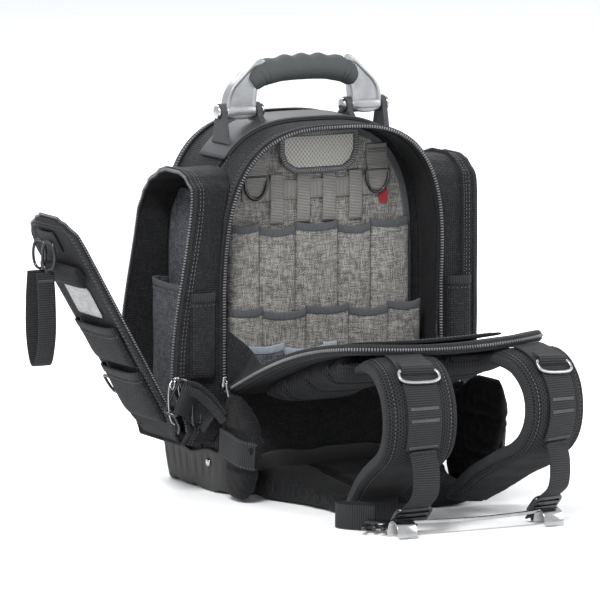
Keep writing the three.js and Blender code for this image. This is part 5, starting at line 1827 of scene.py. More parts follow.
@dataclass
class Flap:
    """Left flap, unzipped and folded out: board, zip half, roll, patch, pockets, loop with clip rings."""

    hinge_x: float = -167.0
    hinge_z: float = 63.0
    tilt: float = 29.0
    length: float = 265.0
    thickness: float = 7.0
    rear_taper: float = 24.0
    pockets: SidePockets = field(default_factory=SidePockets)

    @property
    def normal(self) -> Array:
        """Direction that the flap's outer face looks."""
        a = math.radians(self.tilt)
        return vec(-math.cos(a), 0, -math.sin(a))

    @property
    def rise(self) -> Array:
        """Direction up the flap."""
        a = math.radians(self.tilt)
        return vec(-math.sin(a), 0, math.cos(a))

    def at(self, y: Array | float, v: Array | float, depth: Array | float) -> Array:
        """Point at y, v up the flap and depth out of its inner face."""
        y, v, depth = np.broadcast_arrays(y, v, depth)
        base = np.stack([np.full(y.shape, self.hinge_x), y, np.full(y.shape, self.hinge_z)], -1)
        return base + v[..., None] * self.rise + depth[..., None] * self.normal

    def plane(self, y: float, v: float, gap: float) -> Plane:
        """A plane just over the outer face, its origin at y and v."""
        return Plane(self.at(y, v, self.thickness + gap), vec(0, 1, 0), self.rise, self.normal)

    def edges(self, v: Array) -> tuple[Array, Array]:
        """Front and rear Y of the flap at v."""
        z = self.pockets.bottom + v / self.length * (self.pockets.top - self.pockets.bottom)
        z = np.clip(z, self.pockets.bottom + 4, self.pockets.top)
        return self.pockets.front_at(z), self.pockets.rear_at(z) + 4 - self.rear_taper * (1 - v / self.length)

    def board(self) -> bpy.types.Object:
        """The padded board: a slab whose width follows the pocket's outline."""

        def place(s: Array, t: Array, depth: Array) -> Array:
            """Slab shares to the flap."""
            v = (s + 1) / 2 * self.length
            y0, y1 = self.edges(v)
            bow = 2.4 * np.sin(math.pi * v / self.length) * (1 - t**2)
            wave = 0.5 * ripple(np.stack([v, t * 60, 0 * v], -1), 60, 9)
            return self.at((y0 + y1) / 2 + t * (y1 - y0) / 2, v,
                           self.thickness / 2 + depth * 0.98 - 0.4 * bow + wave)

        return slab("left_flap_board", place, self.thickness, 70, 34, edge=7, end=12)

    def rim(self, out: float, count: int = 320) -> Array:
        """Line round the flap's edge, (y, v), from the foot in front over the crown to the foot behind."""
        v = np.linspace(6, self.length, 160)
        y0, y1 = self.edges(v)
        line = np.vstack([np.stack([y0 - out, v], 1), np.stack([y1 + out, v], 1)[::-1]])
        line[159:161, 1] += out
        return resample(line, count)

    def pocket(self, name: str, node: str, y0: float, y1: float, v0: float, v1: float, depth: float,
               seed: float) -> None:
        """A zipped pocket on the flap's outer face."""
        plane = self.plane((y0 + y1) / 2, v0, 0.3)
        Pouch(name, plane, (y1 - y0) / 2, v1 - v0, depth, SHELL, BAND, THREAD, power=3.4, sag=0.5, seed=seed,
              foot=0.3, binding_width=8, crease=1.0).build(node)

    def build(self) -> None:
        """Builds the flap and all that is on it."""
        add_piece(self.board(), SHELL, "left_flap")
        rim = self.rim(1.9)
        line = self.at(rim[:, 0], rim[:, 1], self.thickness / 2 - 1)
        outward = np.cross(unit(np.gradient(line, axis=0)), self.normal)
        ZipLine("flap_zip_tape", line, -outward, tape_width=3.6, proud=1.0, teeth_side=1.0).build("flap_zip")
        rows = []
        for inset in (6.0, 10.0):
            edge = self.rim(-inset)
            edge[:, 1] = np.minimum(edge[:, 1], self.length - inset)
            line = self.at(edge[:, 0], edge[:, 1], self.thickness + 0.1)
            rows.append(stitches("seam", line, self.normal))
        add_piece(joined("flap_stitches", rows), THREAD)
        self.pocket("flap_upper_pocket", "flap_pocket_upper", -66, 22, 90, 138, 8.6, 11)
        self.pocket("flap_lower_pocket", "flap_pocket_lower", -70, 14, 22, 84, 9.6, 12)
        self.roll()
        self.patch()
        self.loop()
        hinge = self.at(np.linspace(-62, 24, 40), -1.5, 1.5)
        add_piece(carried("flap_hinge_fold", hinge, oval(13, 5, 16, 2.4), self.rise, blunt=4), SHELL)

    def roll(self) -> None:
        """Padded roll across the flap under the loop."""

        def place(s: Array, t: Array, depth: Array) -> Array:
            """Slab shares to the roll."""
            return self.at(-19 + s * 42, 202 + t * 11.6, self.thickness + 7.6 + depth)

        piece = slab("flap_roll_pad", place, 13.5, 40, 26, edge=2.3, end=5)
        add_piece(piece, SHELL, "flap_roll")

    def patch(self) -> None:
        """Plain pale patch, stitched round."""
        plane = self.plane(-16.0, 165.0, 0.35)
        outline = rounded_box(58, 37, 4, 6)
        add_piece(domed("flap_patch", outline, plane, flat_profile(0.9), 0.0), PATCH, "flap_label")
        ring = resample(np.vstack([outline * 0.93, outline[:1] * 0.93]), 120)
        seam = plane.at(ring[:, 0], ring[:, 1], 1.0)
        add_piece(stitches("patch_stitches", seam, self.normal, 3.0, 2.1, 0.3), GREY_THREAD)

    def loop(self) -> None:
        """Webbing loop with two clip rings, and the hanging strap they hold."""
        face = self.thickness + 0.3
        band = [self.at(-14.0 + y, 239.0, face + rise)
                for y, rise in ((-19.5, 1.0), (-14, 2.6), (0, 2.9), (14, 2.6), (19.5, 1.0))]
        strip("flap_clip_loop", band, self.normal, 24, BAND, "flap_loop", thickness=1.8, steps=30)
        across = unit(vec(0.35, -0.94, 0))
        for y, name in ((-24.0, "front"), (-2.0, "rear")):
            top = self.at(y, 242.0, face + 4 + 0.3 + 1.6 + 1)
            path = ring_path(top + vec(0, 0, -15), across, vec(0, 0, 1), 9, 15, 2.2, 44)
            wide = np.cross(across, vec(0, 0, 1))
            add_piece(carried(f"clip_{name}", path, oval(3.2, 3.2, 12), wide, True), GLOSS,
                      f"clip_ring_{name}")
        front, rear = [self.at(y, 242.0, face + 6.9) + vec(-4, 0, -31.9) for y in (-24.0, -2.0)]
        strand = [front, front + vec(0, -4, -30), front + vec(0, -4, -66), front + vec(0, 5, -94),
                  rear + vec(0, -5, -94), rear + vec(0, 4, -66), rear + vec(0, 4, -30), rear]
        path = curve(strand, 70)
        add_piece(carried("hanging_strap", path, rounded_box(20, 1.8, 0.7, 3), vec(1, 0, 0)), BAND,
                  "tape_strap")
        for k, end in ((1, front), (-1, rear)):
            bar_tack(f"strap_tack_{'front' if k > 0 else 'rear'}", end + vec(-0.2, -k * 2.0, -9),
                     vec(1, 0, 0), vec(0, -k, 0), 15)
        v = np.array(54.0)
        y = float(self.edges(v)[1]) - 4.6
        centre = self.at(y, v, face + 1.3) + self.rise * 9
        dee("flap_dee", centre, vec(0, 1, 0), self.rise, 10, 18, 1.6, GLOSS, "flap_ring")


@dataclass(frozen=True)
class PocketRow:
    """A row of pockets: half width, depth, heights of foot and mouth, walls between cells, and finishes."""

    name: str
    reach: float
    depth: float
    low: float
    high: float
    walls: tuple[float, ...]
    cloth: Finish = HEATHER
    binding: Finish = BINDING
    thread: Finish = GREY_THREAD


@dataclass
class Interior:
    """Tool board with its pouch, webbing, rings and three rows of pockets."""

    rear: float = -41.3
    thickness: float = 4.0
    half: float = 110.0
    spring: float = 225.0
    top: float = 372.0
    bottom: float = 50.0
    middle_z: float = 210.0
    ring_x: float = 71.0

    @property
    def face(self) -> float:
        """Y just in front of the board."""
        return self.rear - self.thickness - 0.3

    def plane(self, x: float, z: float, y: float | None = None) -> Plane:
        """A plane that faces the opening."""
        return Plane(vec(x, self.face if y is None else y, z), vec(1, 0, 0), vec(0, 0, 1), vec(0, -1, 0))

    def board(self) -> None:
        """Heather board with a dark bound edge."""
        turn = np.linspace(0, math.pi / 2, 40)
        x = self.half * np.cos(turn) ** (2 / 3)
        z = self.spring + (self.top - self.spring) * np.sin(turn) ** (2 / 3)
        right = np.vstack([[self.half, self.bottom], np.stack([x, z], 1)])
        outline = resample(np.vstack([right, (right * [-1, 1])[::-1], right[:1]]), 200)
        plane = self.plane(0, 0, self.rear)
        profile = flat_profile(self.thickness)
        sheet = domed("heather_board", outline, plane, profile, centre=(0, self.middle_z))
        add_piece(sheet, HEATHER, "tool_board")
        rim = resample(np.vstack([right, (right * [-1, 1])[::-1]]), 200)
        over = rim[:, 1] - self.middle_z
        line = np.stack([rim[:, 0] * 0.99, np.full(200, self.face + 0.9), over * 0.99 + self.middle_z], 1)
        spread = np.stack([rim[:, 0], 0 * over, over], 1)
        add_piece(carried("board_edge_binding", line, rounded_box(7.5, 2.4, 1.0, 3), spread), BINDING)

    def lining(self) -> None:
        """Sheet inside the front gusset, from the board to just inside the opening's edge; its darker colour
        is painted shade inside the opening.
        """
        outline, _ = BAG.arch(3.4, 60, 200)
        y = np.linspace(self.rear - 1.0, -86, 12)
        depth = np.maximum(y[:, None], BAG.front_edge(outline[:, 1]) + 5.0)
        points = np.stack([np.broadcast_to(outline[:, 0], depth.shape), depth,
                           np.broadcast_to(outline[:, 1], depth.shape)], -1).transpose(1, 0, 2)
        sheet = grid("opening_lining", points)
        thickened(sheet, 0.5, 0)
        add_piece(tidy_normals(apply_modifiers(sheet)), LINING_PAINTED_SHADE)

    def pouch(self) -> None:
        """Top pouch: heather cloth, an open diamond net over it and a ladder-stitched dark binding."""
        k = 44.0
        points = [[-k, 18], [-k, -2], [-k + 5, -14], [-k + 16, -21], [k - 16, -21], [k - 5, -14], [k, -2],
                  [k, 18]]
        outline = resample(np.vstack([points, points[:1]]), 130)
        outline = (np.roll(outline, 1, 0) + outline + np.roll(outline, -1, 0)) / 3
        plane = self.plane(0, 350)
        add_piece(domed("top_pouch_cloth", outline, plane, flat_profile(7.5, 2.2), 0.4), NET, "top_pouch")
        line = plane.at(outline[:, 0] * 0.985, outline[:, 1] * 0.985, 7.9)
        spread = unit(np.stack([outline[:, 0], 0 * outline[:, 0], outline[:, 1]], 1))
        add_piece(carried("top_pouch_binding", line, rounded_box(6.5, 2.6, 1.0, 3), spread, True), BINDING)
        path = plane.at(outline[:, 0] * 0.985, outline[:, 1] * 0.985, 9.25)
        whole = resample(np.concatenate([path, spread], 1), 86, True)
        rungs = box_copies("top_pouch_ladder", whole[:, :3], whole[:, 3:], np.gradient(whole[:, :3], axis=0),
                           (4.6, 0.9, 0.6))
        add_piece(rungs, GREY_THREAD)

    def webbing(self) -> None:
        """Ribbed band across, vertical strips, ring keepers with tacks and D-rings."""
        f = self.face
        route = [[-86, f - 0.8, 309], [-40, f - 0.9, 309], [0, f - 0.9, 309], [40, f - 0.9, 309],
                 [86, f - 0.8, 309]]
        strip("board_band", route, vec(0, -1, 0), 20, GREY_BAND, "board_webbing", steps=80, edges=True)
        for x in (-46.0, -15.0, 15.0, 46.0):
            strip(f"board_strip_{'neg' if x < 0 else 'pos'}_{abs(int(x))}",
                  [[x, f - 1.9, 326], [x, f - 2.5, 300], [x, f - 2.2, 285], [x, f - 0.6, 274]],
                  vec(0, -1, 0), 15, GREY_BAND, steps=24)
        for side in (-1, 1):
            x = side * self.ring_x
            name = "left" if side < 0 else "right"
            route = [[x, f - 0.9, 352], [x, f - 1.4, 335], [x, f - 5.0, 325.5], [x, f - 2.0, 318],
                     [x, f - 1.0, 304]]
            strip(f"ring_keeper_{name}", route, vec(0, -1, 0), 24, GREY_BAND, steps=30)
            for z in (345.0, 331.0):
                bar_tack(f"keeper_tack_{name}_{int(z)}", vec(x, f - 2.6, z), vec(1, 0, 0), vec(0, -1, 0),
                         20, 2)
            dee(f"board_dee_{name}", vec(x, f - 4.4, 324), vec(1, 0, 0), unit(vec(0, -0.08, 1)), 13, 23, 1.7,
                GLOSS, f"board_ring_{name}")
        add_piece(domed("plain_tag", rounded_box(10, 15, 1.2, 4), self.plane(79, 297, f - 1.2),
                        flat_profile(0.7)), TAG)

    def rows(self) -> None:
        """Three rows of pockets, each cell bulging between its seams."""
        sets = (
            PocketRow("upper", 105.0, 14.0, 54.0, 276.0, (-70.0, -28.0, 22.0, 60.0)),
            PocketRow("middle", 112.0, 12.0, 50.0, 190.0, (-72.0, -22.0, 28.0, 74.0)),
            PocketRow("front", 100.0, 8.0, 50.0, 152.0, (-52.0, -6.0, 8.0), LINING, PALE_BINDING, THREAD),
        )
        y = self.face
        for row in sets:
            stops = [-row.reach, *row.walls, row.reach]
            for i, (a, b) in enumerate(zip(stops[:-1], stops[1:])):
                drop = (0.0, 5.0, 2.0, 7.0, 3.0)[i]
                nodes = [f"pocket_row_{row.name}"] if i == 0 else []
                Pouch(f"{row.name}_pocket_{i + 1}", self.plane((a + b) / 2, row.low, y), (b - a) / 2,
                      row.high - row.low - drop, row.depth - 0.2, row.cloth, row.binding, row.thread,
                      power=4.0, sag=3.0 if b - a > 30 else 0.5, seed=20 + i + len(row.name), foot=0.06,
                      binding_width=8, crease=1.6).build(*nodes)
            y -= row.depth + 0.3

    def build(self) -> None:
        """Builds all that is inside the opening."""
        for step in (self.board, self.lining, self.pouch, self.webbing, self.rows):
            step()


@dataclass(frozen=True)
class Net(Finish):
    """Heather cloth under an open diamond net."""

    eye: float = 0.0042

    def build(self, graph: Graph) -> bpy.types.Material:
        """Cords of the net lie on u + v and u - v lines; they stand above the cloth."""
        u, v = self.flat(graph)
        p = abs(((u + v * 0.8) / self.eye).fraction() - 0.5) * 2
        q = abs(((u - v * 0.8) / self.eye).fraction() - 0.5) * 2
        cord = p.most(q).step(0.72, 0.92)
        grain = graph.noise(graph.place(), 900.0, 3.0, 0.7)
        ground = graph.mix(grain, shade(self.colour, 0.45), shade(self.colour, 1.1))
        base = graph.mix(cord, ground, shade(self.colour, 1.7))
        normal = graph.bump(cord + grain * 0.2, 0.0006, 1.0)
        return graph.finish(base, 0.75 - cord * 0.1, normal, fixed={"Specular IOR Level": 0.35})


NET = Net("diamond_net", "board_fabric", (0.33, 0.325, 0.30))
# Painted shade: a darker copy of the black nylon for the lining inside the opening, where shade falls.
LINING_PAINTED_SHADE = Weave("dark_lining", "shell_fabric", (0.007, 0.0072, 0.008), Lie.FACES, pitch=0.0014, fleck=0.4,
              depth=0.0002, rough=0.6)
TAG = Weave("plain_red_tag", "label", (0.20, 0.02, 0.025), Lie.FACES, pitch=0.0009, fleck=0.2, depth=0.0001)


@dataclass
class Panel:
    """Harness panel, folded down: padded board, zip half, pocket on its inner face, back pads below it."""

    hinge_y: float = -84.6
    hinge_z: float = 112.0
    tilt: float = 17.0
    length: float = 280.0
    thickness: float = 9.0
    half_width: float = 123.5
    straight: float = 140.0
    power: float = 4.5
    sag: float = 9.0
    bow: float = 10.0

    def at(self, x: Array | float, s: Array | float, depth: Array | float) -> Array:
        """Point at x, s from the hinge and depth under the inner face.

        The sides sag by sag (1 - (x / 128)^2) (s / length)^2, and the face bows by bow sin(pi s / length).
        """
        x, s, depth = np.broadcast_arrays(x, s, depth)
        a = math.radians(self.tilt)
        sag = self.sag * (1 - (x / BAG.half) ** 2) * (s / self.length) ** 2
        bow = self.bow * np.sin(math.pi * s / self.length)
        return np.stack([x, self.hinge_y - s * math.cos(a) - depth * math.sin(a),
                         self.hinge_z + s * math.sin(a) - depth * math.cos(a) - sag + bow], -1)

    def half(self, s: Array) -> Array:
        """Half width at s: straight, then half_width (1 - beyond^power)^(1 / power)."""
        beyond = np.clip((np.asarray(s, float) - self.straight) / (self.length - self.straight), 0, 1)
        return self.half_width * (1 - beyond**self.power) ** (1 / self.power)

    def rim(self, out: float, count: int) -> Array:
        """Line (x, s) round the panel's free edge, moved out."""
        close = np.linspace(1, 0, 80)[1:] ** 2
        s = np.concatenate([np.linspace(4, 220, 60), self.length - (self.length - 220) * close])
        left = np.stack([-self.half(s), s], 1)
        line = resample(np.vstack([left, (left * [-1, 1])[::-1]]), count)
        along = unit(np.gradient(line, axis=0))
        return line + out * np.stack([-along[:, 1], along[:, 0]], 1)

    def board(self) -> bpy.types.Object:
        """The padded board."""

        def place(s: Array, t: Array, depth: Array) -> Array:
            """Slab shares to the panel."""
            reach = (s + 1) / 2 * self.length
            wave = 0.5 * ripple(np.stack([reach, t * 120, 0 * t], -1), 80, 14)
            return self.at(t * self.half(reach), reach, self.thickness / 2 - depth * 0.93 + wave)

        return slab("harness_panel_board", place, self.thickness, 90, 50, edge=9, end=16)

    def pocket(self) -> None:
        """Flat pocket on the inner face, with a bound mouth."""

        def place(s: Array, t: Array, depth: Array) -> Array:
            """Slab shares to the pocket."""
            reach = 0.53 * self.length + s * 0.27 * self.length
            return self.at(t * 84, reach, -3.2 - depth)

        add_piece(slab("panel_pocket_cloth", place, 4.4, 40, 40, edge=6, end=10), SHELL, "panel_pocket")
        x = np.linspace(-82, 82, 60)
        line = self.at(x, 0.262 * self.length, -3.4)
        add_piece(carried("panel_pocket_binding", line, rounded_box(4.4, 7.5, 1.2, 3), vec(0, 0, 1),
                          blunt=2), BAND)
        ring = resample(rounded_box(156, 136, 6, 5), 200, True)
        seam = self.at(ring[:, 0], 0.53 * self.length + ring[:, 1], -5.3)
        add_piece(stitches("panel_pocket_stitches", seam, vec(0, 0.29, 0.96), closed=True), THREAD)

    def back_pad(self, side: int) -> bpy.types.Object:
        """A puffed back pad in air mesh with two sewn channels across."""
        name = "left" if side < 0 else "right"

        def place(s: Array, t: Array, depth: Array) -> Array:
            """Slab shares to the pad."""
            reach = (0.48 + s * 0.345) * self.length
            deep = np.interp(reach / self.length, [0.12, 0.16, 0.3, 0.5, 0.68, 0.8, 0.84],
                             [12, 18, 23, 23, 20, 13, 8])
            middle = self.thickness + 1.6 + deep / 2
            return self.at(side * (56 + t * 46.5), reach, middle - depth / 24 * deep)

        pad = inflated(slab(f"back_pad_{name}_form", place, 22, 60, 36, edge=3.2, end=4.5), 5.0, 4.0, 4.0)
        points = vertex_points(pad)
        reach = (self.hinge_y - points[:, 1]) / math.cos(math.radians(self.tilt))
        under = np.clip((self.at(points[:, 0], reach, 14.0)[:, 2] - points[:, 2]) / 8, 0, 1)
        groove = sum(np.exp(-(((reach - c) / 3.4) ** 2)) for c in (88.0, 138.0, 186.0))
        points[:, 2] += 6.0 * groove * under
        set_points(pad, points)
        lay_cloth(pad, (1, 0, 0), (0, 1, 0))
        return pad

    def webs(self) -> None:
        """Fabric webs that join the panel's sides to the opening's foot, folded inwards."""
        for side in (-1, 1):
            h = np.linspace(0, 1, 26)
            k = np.linspace(0, 1, 22)
            gh, gk = np.meshgrid(h, k, indexing="ij")
            z = 114 + gh * 62
            frame = np.stack([np.full(gh.shape, side * 124.2), BAG.front_edge(z) + 2.0, z], -1)
            free = self.at(side * 120.0, 4 + gh * 74, -1.2)
            points = frame * (1 - gk[..., None]) + free * gk[..., None]
            fold = np.sin(math.pi * gk) * gh
            points[..., 0] -= side * (13 * fold + 2.0 * np.sin(gk * 9 + gh * 5) * fold)
            points[..., 2] -= 9 * fold
            web = grid(f"opening_web_{'left' if side < 0 else 'right'}", points)
            thickened(web, 1.2, 0)
            add_piece(tidy_normals(apply_modifiers(web)), SHELL)

    def edging(self) -> None:
        """Zip half, stitches and piping round the free edge."""
        rim = self.rim(2.1, 330)
        inner, middle, outer = (self.at(rim[:, 0], rim[:, 1], self.thickness * k) for k in (0.0, 0.5, 1.0))
        normal = unit(inner - outer)
        ZipLine("panel_zip_tape", middle, normal, tape_width=7.6, tape_thickness=1.4, teeth_side=1.0,
                proud=1.6).build("panel_zip")
        edge = self.rim(-7.0, 300)
        for depth, sign, name in ((-0.15, 1, "inner"), (9.15, -1, "outer")):
            seam = self.at(edge[:, 0], edge[:, 1], depth)
            add_piece(stitches(f"panel_stitches_{name}", seam, normal[0] * sign), THREAD)
        edge = self.rim(0.4, 300)
        for depth, name in ((0.6, "inner"), (8.6, "outer")):
            seam = self.at(edge[:, 0], edge[:, 1], depth)
            add_piece(carried(f"panel_piping_{name}", seam, oval(3.2, 2.6, 10), vec(0, 0, 1), blunt=3), BAND)

    def build(self) -> None:
        """Builds the panel and its pads."""
        add_piece(self.board(), SHELL, "harness_panel")
        self.edging()
        self.pocket()
        self.webs()
        for side in (-1, 1):
            name = "left" if side < 0 else "right"
            add_piece(self.back_pad(side), AIR, f"back_pad_{name}")


@dataclass
class Belt:
    """Lumbar pad on the floor and the two belt wings."""

    rear_y: float = -98.2
    front_y: float = -262.0
    height: float = 32.0

    def lumbar(self) -> None:
        """Puffed pad with two seams that run front to back."""
        share = [0, 0.06, 0.3, 0.5, 0.75, 0.93, 1]
        half = [113, 116.6, 104, 92, 84, 80, 74]
        tall = [26, 31, 31, 27, 24, 19, 9]

        def place(s: Array, t: Array, depth: Array) -> Array:
            """Slab shares to the pad."""
            k = (s + 1) / 2
            z = np.interp(k, share, tall)
            return np.stack([t * np.interp(k, share, half) * 0.985,
                             self.rear_y - 1.5 + k * (self.front_y - self.rear_y + 3),
                             z / 2 * (1 + depth / 15) + 0.4], -1)

        pad = inflated(slab("lumbar_pad_form", place, 29, 60, 60, edge=5, end=7), 6.0, 3.0, 3.0)
        points = vertex_points(pad)
        up = np.clip((points[:, 2] - 10) / 10, 0, 1)
        groove = sum(np.exp(-(((points[:, 0] - c) / 4.0) ** 2)) for c in (-46.0, 28.0))
        points[:, 2] -= 8.0 * groove * up
        points[:, 2] -= 2.0 * np.clip(ripple(points, 40, 31), 0, 1) * up
        points[:, 2] = np.maximum(points[:, 2], 0.3)
        set_points(pad, points)
        lay_cloth(pad, (1, 0, 0), (0, 1, 0))
        add_piece(pad, PAD_PAINTED_SHADE, "lumbar_pad")

    def wing(self, name: str, stations: Sequence[Sequence[float]], seed: float) -> None:
        """A belt wing that stands on its edge beside the lumbar pad.

        Args:
            name: left or right.
            stations: (z, x, rear y, front y, thickness).
            seed: of its creases.
        """
        z, x, y0, y1, thick = np.array(stations, float).T

        def place(s: Array, t: Array, depth: Array) -> Array:
            """Slab shares to the wing."""
            h = (s + 1) / 2 * (z[-1] - z[0] - 1) + z[0] + 0.5
            a, b = np.interp(h, z, y0), np.interp(h, z, y1)
            return np.stack([np.interp(h, z, x) + depth / 10 * (np.interp(h, z, thick) / 2 - 1.2),
                             (a + b) / 2 + t * (b - a) / 2 * 0.97, h], -1)

        pad = inflated(slab(f"belt_wing_{name}_form", place, 20, 60, 34, edge=3.4, end=6), 5.0, 4.0, 3.0)
        points = vertex_points(pad)
        centre = np.interp(points[:, 2], z, x)
        outer = np.clip(np.abs(points[:, 0] - centre) / 8, 0, 1)
        crease = np.clip(ripple(points * [1, 1, 1.6], 34, seed), 0, 1)
        crease += 0.5 * np.clip(ripple(points, 15, seed + 1), 0, 1)
        groove = sum(np.exp(-(((points[:, 2] - c) / 3.2) ** 2)) for c in (z[-1] * 0.33, z[-1] * 0.66))
        points[:, 0] -= np.sign(points[:, 0] - centre) * outer * (2.6 * crease + 3.0 * groove)
        set_points(pad, points)
        lay_cloth(pad, (0, 1, 0), (0, 0, 1))
        add_piece(pad, PAD_PAINTED_SHADE, f"belt_wing_{name}")

    def webbing(self, side: int) -> None:
        """Webbing on one wing, and the side web with its ring."""
        name = "left" if side < 0 else "right"
        reach = -160 if side < 0 else -206
        route = [[side * 140.5, -104, 60], [side * 141.4, (reach - 104) / 2, 57],
                 [side * 141.0, reach + 8, 54], [side * 131.0, reach - 7, 52]]
        strip(f"belt_webbing_{name}", route, vec(side, 0, 0), 30, BAND, steps=50, edges=True)
        route = [[side * 166, -85.9, 100], [side * 158, -87.6, 96], [side * 151, -92, 90],
                 [side * 147, -101, 82]]
        section = rounded_box(38, 1.8, 0.7, 3)
        add_piece(carried(f"side_webbing_{name}", curve(route, 30), section, vec(0, 0, 1)), BAND,
                  f"side_web_{name}")
        ring = ring_path(vec(side * 160, -89.5, 98), vec(side * 0.9, -0.3, 0), vec(0, 0, 1), 6, 21, 5, 40)
        add_piece(carried(f"side_ring_{name}", ring, oval(3.6, 3.0, 10), vec(0, -1, 0), True), GLOSS)

    def floor_loop(self) -> None:
        """Loop of webbing that lies on the floor in front of the lumbar pad."""
        route = [[-38, -305.2], [-39, -330], [-50, -349], [-72, -332], [-96, -310], [-112, -310],
                 [-108, -328], [-88, -350]]
        path = curve([[x, y, 12.7] for x, y in route], 90)
        add_piece(carried("floor_webbing", path, rounded_box(25, 1.8, 0.7, 3), vec(0, 0, 1)), BAND,
                  "floor_loop")

    def build(self) -> None:
        """Builds pads and the webbing on the wings."""
        self.lumbar()
        left = [[0.2, -127, -135, -108, 16], [14, -127.6, -150, -103, 22], [40, -128.6, -164, -101, 24],
                [67, -128, -172, -100, 24], [88, -128, -160, -100, 22], [101, -130, -146, -101, 18],
                [111, -131, -134, -104, 9]]
        right = [[0.2, 127, -170, -108, 16], [14, 127, -190, -103, 20], [40, 128, -210, -101, 22],
                 [70, 129, -224, -100, 22], [92, 129, -226, -104, 20], [110, 129, -220, -140, 16],
                 [122, 128, -214, -160, 8]]
        self.wing("left", left, 41)
        self.wing("right", right, 43)
        for side in (-1, 1):
            self.webbing(side)
        self.floor_loop()


@dataclass(frozen=True)
class StrapRun:
    """A strap's path with its directions and shares; ``share`` counts the route's stations from 0 to 21."""

    name: str
    path: Array
    wide: Array
    up: Array
    share: Array
    web_gap: float
    tail_gap: float

    @property
    def ease(self) -> Array:
        """Share of the full thickness: the pad thins towards both ends."""
        return np.minimum(1, np.minimum(0.55 + self.share / 5, 0.6 + (21 - self.share) / 6))

    @property
    def narrow(self) -> Array:
        """Share of the full width: the pad narrows past station 14."""
        return np.where(self.share > 14, 1 - (self.share - 14) * 0.045, 1.0)

    def near(self, station: float) -> int:
        """Number of the point nearest to a station."""
        return int(np.argmin(np.abs(self.share - station)))


